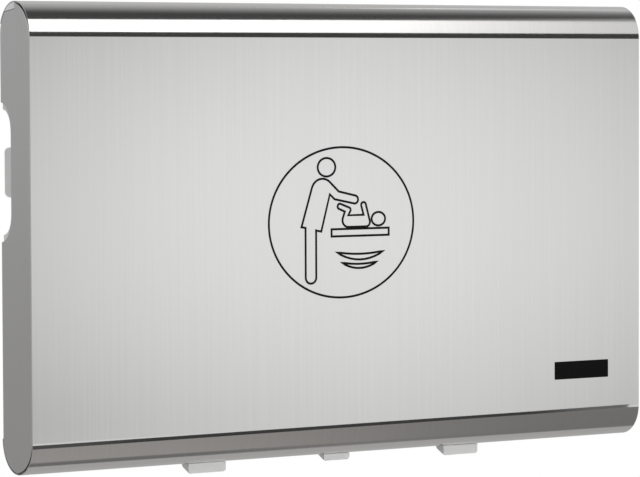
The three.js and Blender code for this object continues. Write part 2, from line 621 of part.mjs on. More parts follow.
const BLOCKS = {
  left: { x: -BLOCK_PITCH, ...OUTER_BLOCK },
  centre: { x: 0, ...CENTRE_BLOCK },
  right: { x: BLOCK_PITCH, ...OUTER_BLOCK },
};
const BLOCK_RADIUS = EDGE_RADIUS + BLOCK_RUN_GAP;
const BLOCK_FACE_Y = FRONT_Y + BLOCK_FACE_DEPTH;
const BLOCK_TOP_Z = fromAxis(BLOCK_RADIUS, BLOCK_WRAP_END)[1];
const BLOCK_HEEL_Z = BLOCK_HEEL_RISE - COVER_HEIGHT / 2;

function supportBlock(name) {
  const { x, width, drop } = BLOCKS[name];
  const foot = -COVER_HEIGHT / 2 - drop;
  const slope = (BLOCK_HEEL_Z - foot) / (TRAY_BACK_Y - BLOCK_FACE_Y);
  const faceAngle = -Math.PI / 2 - Math.asin((AXIS_Y - BLOCK_FACE_Y) / BLOCK_RADIUS);
  const profile = new THREE.Shape();
  profile.absarc(AXIS_Y, AXIS_Z, BLOCK_RADIUS, faceAngle, THREE.MathUtils.degToRad(BLOCK_WRAP_END));
  profile.lineTo(TRAY_BACK_Y, BLOCK_TOP_Z);
  profile.lineTo(TRAY_BACK_Y, BLOCK_HEEL_Z);
  profile.lineTo(BLOCK_FACE_Y + BLOCK_NECK_DEPTH, BLOCK_NECK_RISE - COVER_HEIGHT / 2);
  profile.lineTo(BLOCK_FACE_Y + BLOCK_BOW_DEPTH, foot + BLOCK_BOW_RISE);
  profile.lineTo(BLOCK_FACE_Y, foot);
  const left = x - width / 2;
  const right = x + width / 2;
  const front = new THREE.Shape();
  front.absarc(left + BLOCK_EDGE, foot + BLOCK_EDGE, BLOCK_EDGE, Math.PI, 1.5 * Math.PI);
  front.absarc(right - BLOCK_ROUND, foot + BLOCK_ROUND, BLOCK_ROUND, -Math.PI / 2, 0);
  front.lineTo(right, 0);
  front.lineTo(left, 0);
  const sheared = prismY(front, BLOCK_FACE_Y - OVERRUN, 0, 2 * CORNER_STEPS)
    .translate(0, -BLOCK_FACE_Y, 0)
    .applyMatrix4(new THREE.Matrix4().makeShear(0, 0, 0, slope, 0, 0))
    .translate(0, BLOCK_FACE_Y, 0);
  const body = common(prismX(profile, left - OVERRUN, right + OVERRUN, ROLL_STEPS), sheared);
  return mesh(`support_block_${name}`, body, GREY_MOULDING);
}

// Chassis plate and rear tray

const wallScrewHole = (side, level) => roundY(WALL_SCREW_RADIUS + FIT_GAP, SIDES[side] * WALL_SCREW_X,
  TRAY_FRONT_Y, CHASSIS_SHEET, WALL_SCREW_Z[level]);

// One sheet: a field behind the tray, a wider band behind the hinge arms, an apron down to the support blocks
function chassisPlate() {
  const right = [
    [APRON_HALF_X, CHASSIS_FOOT_Z], [APRON_HALF_X, ARM_SOLE_Z], [ARM_OUTER_X, ARM_SOLE_Z],
    [ARM_OUTER_X, ARM_TOP_Z], [TRAY_HALF_X, ARM_TOP_Z], [TRAY_HALF_X, TRAY_TOP_Z],
  ];
  const left = right.map(([x, z]) => [-x, z]).reverse();
  const plate = prismY(polygon([...right, ...left]), -CHASSIS_SHEET, 0);
  const holes = [...atCorners(wallScrewHole), ...atCorners(armBoltHole)];
  return mesh('chassis_plate', cut(plate, ...holes), GALVANISED_STEEL);
}

const trayOutline = (inset) => roundedRect(inset - TRAY_HALF_X, TRAY_HALF_X - inset, TRAY_FOOT_Z + inset,
  TRAY_TOP_Z - inset, Math.max(TRAY_CORNER - inset, TRAY_WALL));

function rearTray() {
  const body = prismY(trayOutline(0), TRAY_FRONT_Y, TRAY_BACK_Y);
  const recess = prismY(trayOutline(TRAY_BORDER), TRAY_FRONT_Y - OVERRUN, TRAY_FLOOR_Y);
  const hollow = prismY(trayOutline(TRAY_WALL), TRAY_FRONT_Y + TRAY_WALL, TRAY_BACK_Y + OVERRUN);
  const core = prismY(trayOutline(TRAY_BORDER - TRAY_WALL), TRAY_FRONT_Y, TRAY_FLOOR_Y + TRAY_WALL);
  const bosses = atCorners((side, level) => roundY(WALL_SCREW_RADIUS + SCREW_BOSS_WALL,
    SIDES[side] * WALL_SCREW_X, TRAY_FLOOR_Y, TRAY_BACK_Y, WALL_SCREW_Z[level], ROUND_SIDES));
  const shell = cut(body, recess, cut(hollow, core));
  return mesh('rear_tray', cut(join(shell, ...bosses), ...atCorners(wallScrewHole)), PALE_MOULDING);
}

function wallScrew(side, level) {
  const seat = TRAY_FLOOR_Y - FIT_GAP;
  const geometry = screw(WALL_SCREW_RADIUS, -FIT_GAP - seat)
    .translate(SIDES[side] * WALL_SCREW_X, seat, WALL_SCREW_Z[level]);
  return mesh(`wall_screw_${side}_${level}`, geometry, BRIGHT_STEEL);
}

// Bag hooks: a base on the tray's side, a floor and an upright lip close behind the end cap, which narrow
// towards the wall

const HOOK_BASE_X = TRAY_HALF_X + FIT_GAP;
const HOOK_LIP_X = CAP_INNER_X - HOOK_CAP_CLEARANCE;
const HOOK_BACK_Y = -(CHASSIS_SHEET + HOOK_WALL_CLEARANCE);
const HOOK_FOOT_Z = SCOOP_CENTRE_Z - HOOK_HEIGHT / 2;

function bagHook(side) {
  const sign = SIDES[side];
  const top = HOOK_FOOT_Z + HOOK_HEIGHT;
  const section = polygon([
    [HOOK_BASE_X, HOOK_FOOT_Z], [HOOK_LIP_X, HOOK_FOOT_Z], [HOOK_LIP_X, top], [HOOK_LIP_X - HOOK_WALL, top],
    [HOOK_LIP_X - HOOK_WALL, HOOK_FOOT_Z + HOOK_FLOOR], [HOOK_BASE_X + HOOK_WALL, HOOK_FOOT_Z + HOOK_FLOOR],
    [HOOK_BASE_X + HOOK_WALL, top], [HOOK_BASE_X, top],
  ].map(([x, z]) => [sign * x, z]));
  const front = HOOK_BACK_Y - HOOK_WIDTH;
  const nose = HOOK_BACK_Y - HOOK_NOSE_DEPTH;
  const ends = new THREE.Shape();
  ends.absellipse(nose, top - HOOK_NOSE_DROP, HOOK_NOSE_DEPTH, HOOK_NOSE_DROP, Math.PI / 2, 0, true);
  ends.absellipse(nose, HOOK_FOOT_Z + HOOK_NOSE_DROP, HOOK_NOSE_DEPTH, HOOK_NOSE_DROP, 0, -Math.PI / 2, true);
  ends.lineTo(front, HOOK_FOOT_Z);
  ends.lineTo(front, top);
  const bounds = prismX(ends, -COVER_WIDTH / 2, COVER_WIDTH / 2, 2 * CORNER_STEPS);
  return mesh(`bag_hook_${side}`, common(prismY(section, front, HOOK_BACK_Y), bounds), GREY_MOULDING);
}

// Magnet catches on the tray's top border, strike plates on the tub's rim, rubber buffers at the corners

const MAGNET_X = TRAY_HALF_X - MAGNET_INSET;
const MAGNET_Z = TRAY_TOP_Z - BASIN_MARGIN / 2;

function magnet(side) {
  const x = SIDES[side] * MAGNET_X;
  const back = TRAY_FRONT_Y - FIT_GAP;
  const depth = RIM_CLEARANCE - 2 * FIT_GAP - STRIKE_SHEET - MAGNET_AIR_GAP;
  const outline = roundedRect(x - MAGNET_WIDTH / 2, x + MAGNET_WIDTH / 2, MAGNET_Z - MAGNET_HEIGHT / 2,
    MAGNET_Z + MAGNET_HEIGHT / 2, MAGNET_CORNER);
  return mesh(`magnet_${side}`, prismY(outline, back - depth, back), DARK_MOULDING);
}

function strike(side) {
  const x = SIDES[side] * MAGNET_X;
  const outline = roundedRect(x - MAGNET_WIDTH / 2, x + MAGNET_WIDTH / 2, MAGNET_Z - MAGNET_HEIGHT / 2,
    MAGNET_Z + MAGNET_HEIGHT / 2, MAGNET_CORNER);
  const back = RIM_Y + FIT_GAP;
  return mesh(`strike_${side}`, prismY(outline, back, back + STRIKE_SHEET), BRIGHT_STEEL);
}

function buffer(side, level) {
  const x = SIDES[side] * (TRAY_HALF_X - BASIN_MARGIN / 2);
  const pad = roundY(BUFFER_RADIUS, x, RIM_Y + BUFFER_AIR_GAP, TRAY_FRONT_Y - FIT_GAP, BUFFER_Z[level],
    ROUND_SIDES);
  return mesh(`buffer_${side}_${level}`, pad, RUBBER);
}

// Safety strap: two flat webbings along the tub, each under an anchor plate, meeting at the buckle

const ANCHOR_ZS = { upper: BASIN_TOP_Z + ANCHOR_INSET, lower: BASIN_FOOT_Z - ANCHOR_INSET };
const SOCKET_FOOT_Z = BASIN_CENTRE_Z - SOCKET_LENGTH;
const PLUG_TOP_Z = BASIN_CENTRE_Z + PLUG_LENGTH;
const BUCKLE_Y = BASIN_FLOOR_Y + FIT_GAP;
const STRAP_ENDS = {
  upper: [PLUG_TOP_Z + FIT_GAP, ANCHOR_ZS.upper + ANCHOR_HEIGHT / 2],
  lower: [ANCHOR_ZS.lower - ANCHOR_HEIGHT / 2, SOCKET_FOOT_Z - FIT_GAP],
};

// The tub's faceted face along the middle, where the strap lies on it
function strapBed(z) {
  const next = Math.max(1, TUB_ZS.findIndex((station) => station >= z));
  const [low, high] = [TUB_ZS[next - 1], TUB_ZS[next]];
  return THREE.MathUtils.mapLinear(z, low, high, tubSurface(0, low), tubSurface(0, high));
}

function strap(name) {
  const [low, high] = STRAP_ENDS[name];
  const zs = [low, ...TUB_ZS.filter((z) => z > low + SHORTEST_STEP && z < high - SHORTEST_STEP), high];
  const face = (x, z) => strapBed(z) + FIT_GAP + STRAP_SHEET;
  const edges = [-STRAP_WIDTH / 2, STRAP_WIDTH / 2];
  return mesh(`strap_${name}`, gridSheet(edges, zs, face, STRAP_SHEET), WEBBING);
}

const ANCHOR_FACE_Y = RIM_Y + 2 * FIT_GAP + STRAP_SHEET;

// A clamp bar over the strap, with a foot on the rim at each end
function strapAnchor(name) {
  const z = ANCHOR_ZS[name];
  const half = ANCHOR_WIDTH / 2;
  const inside = STRAP_WIDTH / 2 + FIT_GAP;
  const bar = prismZ(polygon([
    [-half, RIM_Y + FIT_GAP], [-inside, RIM_Y + FIT_GAP], [-inside, ANCHOR_FACE_Y], [inside, ANCHOR_FACE_Y],
    [inside, RIM_Y + FIT_GAP], [half, RIM_Y + FIT_GAP], [half, ANCHOR_FACE_Y + ANCHOR_SHEET],
    [-half, ANCHOR_FACE_Y + ANCHOR_SHEET],
  ]), z - ANCHOR_HEIGHT / 2, z + ANCHOR_HEIGHT / 2);
  return mesh(`strap_anchor_${name}`, bar, DARK_MOULDING);
}

const TONGUE_FOOT_Z = BASIN_CENTRE_Z - TONGUE_LENGTH;
const BUTTON_Z = BASIN_CENTRE_Z - TONGUE_LENGTH / 2;
const BUTTON_TOP_Y = BUCKLE_Y + BUCKLE_THICKNESS + BUTTON_PROUD;
const BUTTON_FOOT_Y = BUTTON_TOP_Y - BUTTON_THICKNESS;

function buckleSocket() {
  const half = BUCKLE_WIDTH / 2;
  const body = prismY(roundedRect(-half, half, SOCKET_FOOT_Z, BASIN_CENTRE_Z, BUCKLE_ROUND),
    BUCKLE_Y, BUCKLE_Y + BUCKLE_THICKNESS);
  const mouth = block(-TONGUE_WIDTH / 2 - FIT_GAP, TONGUE_WIDTH / 2 + FIT_GAP,
    BUCKLE_Y + TONGUE_BED - FIT_GAP, BUCKLE_Y + TONGUE_BED + TONGUE_THICKNESS + FIT_GAP,
    TONGUE_FOOT_Z - FIT_GAP, BASIN_CENTRE_Z + OVERRUN);
  const pocket = block(-BUTTON_WIDTH / 2 - FIT_GAP, BUTTON_WIDTH / 2 + FIT_GAP,
    BUTTON_FOOT_Y - BUTTON_TRAVEL - FIT_GAP, BUTTON_TOP_Y, BUTTON_Z - BUTTON_LENGTH / 2 - FIT_GAP,
    BUTTON_Z + BUTTON_LENGTH / 2 + FIT_GAP);
  return mesh('buckle_socket', cut(body, mouth, pocket), DARK_MOULDING);
}

function bucklePlug() {
  const half = BUCKLE_WIDTH / 2;
  const foot = BASIN_CENTRE_Z + FIT_GAP;
  const body = prismY(roundedRect(-half, half, foot, PLUG_TOP_Z, BUCKLE_ROUND), BUCKLE_Y,
    BUCKLE_Y + PLUG_THICKNESS);
  const tongue = block(-TONGUE_WIDTH / 2, TONGUE_WIDTH / 2, BUCKLE_Y + TONGUE_BED,
    BUCKLE_Y + TONGUE_BED + TONGUE_THICKNESS, TONGUE_FOOT_Z, foot + BUCKLE_ROUND);
  return mesh('buckle_plug', join(body, tongue), DARK_MOULDING);
}

function buckleButton() {
  const outline = roundedRect(-BUTTON_WIDTH / 2, BUTTON_WIDTH / 2, BUTTON_Z - BUTTON_LENGTH / 2,
    BUTTON_Z + BUTTON_LENGTH / 2, BUTTON_CORNER);
  return mesh('buckle_button', prismY(outline, BUTTON_FOOT_Y, BUTTON_TOP_Y), RED_MOULDING);
}

// Liner cover: a box open at the back and at its slot, whose side flanges slide up in two rails

const COVER_SEAT_Y = TRAY_FLOOR_Y - FIT_GAP;
const LINER_HALF_X = LINER_COVER_WIDTH / 2;
const LINER_FOOT_Z = LINER_COVER_CENTRE_Z - LINER_COVER_HEIGHT / 2;
const LINER_TOP_Z = LINER_COVER_CENTRE_Z + LINER_COVER_HEIGHT / 2;
const FLANGE_FACE_Y = COVER_SEAT_Y - LINER_FLANGE_SHEET;

function linerCover() {
  const front = COVER_SEAT_Y - LINER_COVER_DEPTH;
  const wall = LINER_COVER_WALL;
  const box = prismY(roundedRect(-LINER_HALF_X, LINER_HALF_X, LINER_FOOT_Z, LINER_TOP_Z, LINER_COVER_CORNER),
    front, COVER_SEAT_Y);
  const flange = block(-LINER_HALF_X - LINER_FLANGE, LINER_HALF_X + LINER_FLANGE, FLANGE_FACE_Y, COVER_SEAT_Y,
    LINER_FOOT_Z, LINER_TOP_Z);
  const inside = prismY(roundedRect(wall - LINER_HALF_X, LINER_HALF_X - wall, LINER_FOOT_Z + wall,
    LINER_TOP_Z - wall, LINER_COVER_CORNER - wall), front + wall, COVER_SEAT_Y + OVERRUN);
  const slot = prismY(roundedRect(-LINER_SLOT_WIDTH / 2, LINER_SLOT_WIDTH / 2,
    LINER_COVER_CENTRE_Z - LINER_SLOT_HEIGHT / 2, LINER_COVER_CENTRE_Z + LINER_SLOT_HEIGHT / 2,
    LINER_SLOT_HEIGHT / 2 - FIT_GAP), front - OVERRUN, front + 2 * wall, 2 * CORNER_STEPS);
  return mesh('liner_cover', cut(join(box, flange), inside, slot), GREY_MOULDING);
}

function linerRail(side) {
  const sign = SIDES[side];
  const flangeEdge = LINER_HALF_X + LINER_FLANGE + FIT_GAP;
  const outer = flangeEdge + RAIL_FOOT;
  const lipFace = FLANGE_FACE_Y - FIT_GAP;
  const crown = lipFace - RAIL_LIP_SHEET;
  const foot = LINER_FOOT_Z - RAIL_STOP;
  const lipEdge = LINER_HALF_X + 2 * FIT_GAP;
  const post = block(sign * flangeEdge, sign * outer, crown, COVER_SEAT_Y, foot, LINER_TOP_Z);
  const lip = block(sign * lipEdge, sign * outer, crown, lipFace, foot, LINER_TOP_Z);
  const stop = block(sign * lipEdge, sign * outer, crown, COVER_SEAT_Y, foot, LINER_FOOT_Z - FIT_GAP);
  return mesh(`liner_rail_${side}`, join(post, lip, stop), PALE_MOULDING);
}

// Assembly

const wallUnit = new THREE.Group();
wallUnit.add(
  chassisPlate(), rearTray(), ...atCorners(wallScrew), ...atCorners(buffer), ...bothSides(magnet),
  ...bothSides(hingeArm), ...atCorners(armBolt), ...bothSides(armBush), ...bothSides(damper),
  ...Object.keys(BLOCKS).map(supportBlock), ...bothSides(bagHook), ...bothSides(linerRail),
);

const bed = new THREE.Group();
bed.add(
  frontSkin(), ...bothSides(endCap), ...bothSides(sideTrim), badgePlate(),
  stiffener('stiffener_upper', STIFFENER_SPREAD / 2), stiffener('stiffener_lower', -STIFFENER_SPREAD / 2),
  bedTub(), ...bothSides(tubLedge), ...atCorners(tubScrew), ...bothSides(strike),
  ...bothSides(hingeBracket), ...bothSides(hingePin),
  ...Object.keys(STRAP_ENDS).flatMap((name) => [strap(name), strapAnchor(name)]),
  buckleSocket(), bucklePlug(), buckleButton(),
);

const changingStation = new THREE.Group();
changingStation.add(wallUnit, bed, linerCover());

export default changingStation;
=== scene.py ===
"""Looks of a fold-down baby changing station: brushed steel cover, moulded bed, webbing and fittings."""

import math

import bmesh
import bpy
from mathutils import Matrix, Vector


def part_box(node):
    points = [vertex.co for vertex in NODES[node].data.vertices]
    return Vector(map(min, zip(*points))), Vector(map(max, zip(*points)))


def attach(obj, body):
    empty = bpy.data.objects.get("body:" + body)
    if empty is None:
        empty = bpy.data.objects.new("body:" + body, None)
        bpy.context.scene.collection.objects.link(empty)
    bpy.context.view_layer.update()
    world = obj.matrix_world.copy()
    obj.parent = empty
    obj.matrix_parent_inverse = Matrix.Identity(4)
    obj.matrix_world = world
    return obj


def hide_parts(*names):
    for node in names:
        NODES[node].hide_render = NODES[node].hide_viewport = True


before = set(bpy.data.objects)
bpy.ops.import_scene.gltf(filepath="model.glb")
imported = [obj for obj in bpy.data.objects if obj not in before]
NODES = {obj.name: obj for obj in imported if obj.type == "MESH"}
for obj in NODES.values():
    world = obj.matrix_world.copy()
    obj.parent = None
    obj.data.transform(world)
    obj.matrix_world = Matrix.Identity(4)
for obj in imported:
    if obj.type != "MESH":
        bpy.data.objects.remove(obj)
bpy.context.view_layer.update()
SIDES = {"left": -1, "right": 1}
LEVELS = ("upper", "lower")

# Sizes of the cover that its box doesn't tell, in metres
ROLL_RADIUS = 0.0432
SKIN_SHEET = 0.0012
GRIP_LIP_ANGLE = math.radians(20)
SCOOP_CENTRE_Z = 0.0835
SCOOP_HALF_FLAT = 0.050
SCOOP_HALF_LENGTH = 0.089
SCOOP_DEPTH = 0.028
RELIEF_DROP = 0.010
RELIEF_FALL = 0.005

# Places read from the parts' boxes. X runs right, Y into the wall, Z up.
skin_low, skin_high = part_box("front_skin")
tub_low, tub_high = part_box("bed_tub")
FRONT_Y = skin_low.y
ROLL_Y = FRONT_Y + ROLL_RADIUS
TOP_ROLL_Z = skin_high.z - ROLL_RADIUS
FOOT_ROLL_Z = skin_low.z + ROLL_RADIUS


# Shader maths

class Field:
    """A value that varies over a surface. Arithmetic on it adds Math nodes."""

    def __init__(self, finish, socket):
        self.finish = finish
        self.socket = socket

    def other(self, output):
        """Another output of the same node."""
        return Field(self.finish, self.socket.node.outputs[output])

    def __add__(self, other):
        return self.finish.math("ADD", self, other)

    def __sub__(self, other):
        return self.finish.math("SUBTRACT", self, other)

    def __rsub__(self, other):
        return self.finish.math("SUBTRACT", other, self)

    def __mul__(self, other):
        return self.finish.math("MULTIPLY", self, other)

    def __truediv__(self, other):
        return self.finish.math("DIVIDE", self, other)

    __radd__ = __add__
    __rmul__ = __mul__

    def clamped(self):
        return self.finish.math("MINIMUM", self.finish.math("MAXIMUM", self, 0.0), 1.0)

    def ramp(self, low, high):
        """0 where this is below low, 1 where it is above high, and smooth between them."""
        settings = {"interpolation_type": "SMOOTHSTEP"}
        return self.finish.node("ShaderNodeMapRange", settings, {0: self, 1: low, 2: high})


class Finish:
    """The nodes of a material, or of the world, in the making."""

    def __init__(self, owner, shader="Principled BSDF"):
        owner.use_nodes = True
        self.owner = owner
        self.tree = owner.node_tree
        self.shader = self.tree.nodes[shader]

    def fill(self, node, inputs):
        for key, value in inputs.items():
            if isinstance(value, Field):
                self.tree.links.new(value.socket, node.inputs[key])
            else:
                node.inputs[key].default_value = value

    def node(self, kind, settings, inputs, output=0):
        made = self.tree.nodes.new(kind)
        for key, value in settings.items():
            setattr(made, key, value)
        self.fill(made, inputs)
        return Field(self, made.outputs[output])

    def math(self, operation, *terms):
        return self.node("ShaderNodeMath", {"operation": operation}, dict(enumerate(terms)))

    def surface(self, **inputs):
        self.fill(self.shader, {key.replace("_", " "): value for key, value in inputs.items()})
        return self.owner

    def place(self):
        return self.node("ShaderNodeTexCoord", {}, {}, output="Object")

    def axes(self):
        x = self.node("ShaderNodeSeparateXYZ", {}, {0: self.place()})
        return x, x.other("Y"), x.other("Z")

    def stretched(self, x, y, z):
        """The place on the part, counted in grains of 1/x, 1/y and 1/z metres."""
        factors = {0: self.place(), 1: (x, y, z)}
        return self.node("ShaderNodeVectorMath", {"operation": "MULTIPLY"}, factors)

    def noise(self, x, y, z, detail=2.0):
        grains = {"Vector": self.stretched(x, y, z), "Scale": 1.0, "Detail": detail}
        return self.node("ShaderNodeTexNoise", {}, grains)

    def mix(self, factor, first, second):
        inputs = {"Factor": factor, 6: first, 7: second}
        return self.node("ShaderNodeMix", {"data_type": "RGBA"}, inputs, output=2)

    def bump(self, height, distance):
        return self.node("ShaderNodeBump", {}, {"Height": height, "Distance": distance})


def material(name):
    return Finish(bpy.data.materials.new(name))


def grey(level, warmth=0.0):
    return (level * (1 + warmth), level, level * (1 - warmth), 1.0)


# Finishes

def brushed_steel(name, grain, level, roughness, anisotropy):
    """Satin sheet: grain gives the count of scratches in a metre along X, Y and Z."""
    steel = material(name)
    scratches = steel.noise(*grain, detail=3.0)
    streaks = steel.noise(*(count / 3 for count in grain))
    haze = steel.noise(5, 5, 3)
    marks = (scratches + streaks) * 0.5
    return steel.surface(
        Base_Color=steel.mix(marks.ramp(0.3, 0.7), grey(level * 0.98, 0.004), grey(level * 1.02, 0.004)),
        Metallic=1.0,
        Roughness=roughness + (scratches - 0.5) * 0.03 + (haze - 0.5) * 0.02,
        Anisotropic=anisotropy,
        Normal=steel.bump(scratches, 0.0000015),
    )


def moulding(name, colour, roughness, grain=1600, depth=0.00003, gloss=0.5):
    """Moulded plastic with a fine spark grain and faint flow marks."""
    plastic = material(name)
    pores = plastic.noise(grain, grain, grain, detail=1.0)
    flow = plastic.noise(4, 4, 4)
    lighter = tuple(min(1.0, c * 1.015) for c in colour) + (1.0,)
    darker = tuple(c * 0.985 for c in colour) + (1.0,)
    return plastic.surface(
        Base_Color=plastic.mix(flow.ramp(0.3, 0.7), darker, lighter),
        Roughness=roughness + (pores - 0.5) * 0.14 + (flow - 0.5) * 0.04,
        Specular_IOR_Level=gloss,
        Normal=plastic.bump(pores, depth),
    )


def printed_ink():
    ink = material("printed_ink")
    pores = ink.noise(2400, 2400, 2400)
    return ink.surface(
        Base_Color=ink.mix(pores, grey(0.004), grey(0.010)),
        Roughness=0.42 + (pores - 0.5) * 0.2,
        Specular_IOR_Level=0.08,
        Normal=ink.bump(pores, 0.00001),
    )


def bright_steel():
    """Zinc-plated screws and pins."""
    zinc = material("bright_steel")
    dull = zinc.noise(900, 900, 900)
    return zinc.surface(
        Base_Color=zinc.mix(dull.ramp(0.3, 0.7), grey(0.52, 0.01), grey(0.68, 0.01)),
        Metallic=1.0,
        Roughness=0.30 + (dull - 0.5) * 0.16,
        Normal=zinc.bump(dull, 0.00001),
    )


def galvanised_steel():
    """Sheet with the flat crystals that the zinc bath leaves."""
    zinc = material("galvanised_steel")
    cells = {"Vector": zinc.stretched(110, 110, 110), "Scale": 1.0}
    crystal = zinc.node("ShaderNodeTexVoronoi", {"feature": "F1"}, cells, output="Color")
    tone = zinc.node("ShaderNodeSeparateColor", {}, {"Color": crystal})
    dust = zinc.noise(700, 700, 700)
    return zinc.surface(
        Base_Color=zinc.mix(tone, grey(0.54, -0.012), grey(0.62, -0.012)),
        Metallic=1.0,
        Roughness=0.42 + (tone - 0.5) * 0.08 + (dust - 0.5) * 0.1,
        Normal=zinc.bump(dust, 0.00001),
    )


def rubber():
    gum = material("rubber")
    bloom = gum.noise(60, 60, 60, detail=4.0)
    return gum.surface(
        Base_Color=gum.mix(bloom.ramp(0.35, 0.75), grey(0.012), grey(0.030)),
        Roughness=0.72 + (bloom - 0.5) * 0.2,
        Normal=gum.bump(gum.noise(1500, 1500, 1500), 0.00003),
    )


def pale_floor():
    paint = material("pale_floor")
    specks = paint.noise(400, 400, 400)
    seen = paint.node("ShaderNodeLightPath", {}, {}, output="Is Camera Ray")
    return paint.surface(
        Base_Color=paint.mix(specks, grey(0.79), grey(0.81)),
        Roughness=0.62 + (specks - 0.5) * 0.1,
        Emission_Color=paint.mix(seen, grey(0.0), grey(0.42)),
        Emission_Strength=1.0,
    )


WEB_RIB = 0.0024
WEB_END = 0.0015
WEB_CHEVRON = 0.0095


def webbing():
    """Woven nylon: slanting ribs that turn in chevrons, crossed by finer rows of yarn."""
    cloth = material("webbing")
    x, _, z = cloth.axes()
    slant = z + cloth.math("PINGPONG", x, WEB_CHEVRON)
    ribs = cloth.math("SINE", slant * (2 * math.pi / WEB_RIB))
    yarns = cloth.math("SINE", x * (2 * math.pi / WEB_END))
    weave = ribs * 0.35 + yarns * 0.15 + 0.5
    fuzz = cloth.noise(2600, 2600, 2600)
    return cloth.surface(
        Base_Color=cloth.mix((weave * 0.8 + fuzz * 0.3).clamped(), grey(0.020), grey(0.075)),
        Roughness=0.80 + (fuzz - 0.5) * 0.2,
        Sheen_Weight=0.3,
        Normal=cloth.bump(weave + fuzz * 0.4, 0.00025),
    )


FRONT_STEEL = brushed_steel("front_steel", (1500, 7, 7), 0.68, 0.12, 0.95)
END_STEEL = brushed_steel("end_steel", (7, 1500, 7), 0.62, 0.30, 0.9)
BRIGHT_STEEL = bright_steel()
GALVANISED_STEEL = galvanised_steel()
GREY_MOULDING = moulding("grey_moulding", (0.65, 0.65, 0.645), 0.5)
TRIM_MOULDING = moulding("trim_moulding", (0.76, 0.76, 0.75), 0.45)
PALE_MOULDING = moulding("pale_moulding", (0.66, 0.66, 0.65), 0.45, grain=900, depth=0.00006)
DARK_MOULDING = moulding("dark_moulding", (0.030, 0.031, 0.033), 0.46)
RED_MOULDING = moulding("red_moulding", (0.52, 0.018, 0.016), 0.40)
RUBBER = rubber()
WEBBING = webbing()
THREAD = moulding("thread", (0.16, 0.16, 0.16), 0.7, grain=2600, depth=0.00006)
INK = printed_ink()
BLACK_PLATE = moulding("black_plate", (0.004, 0.004, 0.004), 0.45, grain=3000, depth=0.00001, gloss=0.06)


# Mesh helpers

def to_object(name, bm, finish):
    mesh = bpy.data.meshes.new(name)
    bm.to_mesh(mesh)
    bm.free()
    mesh.materials.append(finish)
    made = bpy.data.objects.new(name, mesh)
    bpy.context.scene.collection.objects.link(made)
    return made


def add_piece(name, bm, finish, body, replaces=()):
    made = to_object(name, bm, finish)
    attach(made, body)
    if replaces:
        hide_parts(*replaces)
    return made


CREASE = math.radians(32)
RIM_ANGLE = math.radians(55)
RIM_CREASE = math.radians(50)
ROUND_STEPS = 3


def shade(bm, crease=CREASE):
    """Smooth faces, with a sharp edge wherever two of them meet at more than the crease angle."""
    bmesh.ops.recalc_face_normals(bm, faces=bm.faces)
    for face in bm.faces:
        face.smooth = True
    for edge in bm.edges:
        edge.smooth = len(edge.link_faces) == 2 and edge.calc_face_angle(0) < crease


GRAIN_POLE = 100


def lay_grain(piece, towards):
    """Sets the mesh's own space so that brush marks run square to the line from a far pole."""
    piece.data.use_auto_texspace = False
    piece.data.texspace_location = Vector(towards) * GRAIN_POLE
    piece.data.texspace_size = (1, 1, 1)


def arc(y, z, radius, start, end, steps, height=None):
    """Points (y, z) on a circle, or on an ellipse of that height, with both ends."""
    rise = radius if height is None else height
    angles = [start + (end - start) * step / steps for step in range(steps + 1)]
    return [(y + radius * math.cos(a), z + rise * math.sin(a)) for a in angles]


def stations(start, *stretches):
    """Values from start through each stretch's end, every stretch split into its own count of steps."""
    values = [start]
    for end, steps in stretches:
        first = values[-1]
        values += [first + (end - first) * step / steps for step in range(1, steps + 1)]
    return values


def thicken(bm, drop, edge):
    """Turns a sheet of faces into a solid by the vector drop, and rounds its rims."""
    grown = bmesh.ops.extrude_face_region(bm, geom=bm.faces[:], use_keep_orig=True)
    moved = [v for v in grown["geom"] if isinstance(v, bmesh.types.BMVert)]
    bmesh.ops.translate(bm, verts=moved, vec=drop)
    bmesh.ops.recalc_face_normals(bm, faces=bm.faces)
    rim = [e for e in bm.edges if e.calc_face_angle(0) > RIM_ANGLE]
    bmesh.ops.bevel(bm, geom=rim, offset=edge, segments=ROUND_STEPS, profile=0.5, affect="EDGES")
    shade(bm, RIM_CREASE)


# Cover

ROLL_STEPS = 72
BEND_STEPS = 6
FLAT_EDGE = 0.0004
BEND_DROP = 0.0026
BEND_LINE = (0.005, math.radians(2))
BEND_EASE = (0.110, math.radians(5.5))


def top_roll(end):
    """The upper roll as (y, z, lean): a bend line, a slack stretch, then one arc up to the lean end."""
    y, z, lean = FRONT_Y, TOP_ROLL_Z - BEND_DROP, 0.0
    points = [(y, z, lean)]
    arcs = [(*BEND_LINE, BEND_STEPS), (*BEND_EASE, BEND_STEPS), (None, end, ROLL_STEPS)]
    for radius, stop, steps in arcs:
        if radius is None:
            radius = (skin_high.z - z) / (1 - math.sin(lean))
        centre = (y + radius * math.cos(lean), z - radius * math.sin(lean))
        points += [
            (centre[0] - radius * math.cos(a), centre[1] + radius * math.sin(a), a)
            for a in stations(lean, (stop, steps))[1:]
        ]
        y, z, lean = points[-1]
    return points


def foot_roll():
    """The lower roll as (y, z, lean), from the rear to the front."""
    return [
        (ROLL_Y - ROLL_RADIUS * math.cos(lean), FOOT_ROLL_Z + ROLL_RADIUS * math.sin(lean), lean)
        for lean in stations(-math.pi, (0.0, ROLL_STEPS))
    ]


def skin_line(inset):
    """The sheet's section from its lower rear edge, round the front, to its grip lip."""
    flat = [
        (FRONT_Y, z, 0.0) for z in (FOOT_ROLL_Z + FLAT_EDGE, TOP_ROLL_Z - BEND_DROP - FLAT_EDGE)
    ]
    outer = foot_roll() + flat + top_roll(math.pi - GRIP_LIP_ANGLE)
    return [(y + inset * math.cos(lean), z - inset * math.sin(lean)) for y, z, lean in outer]


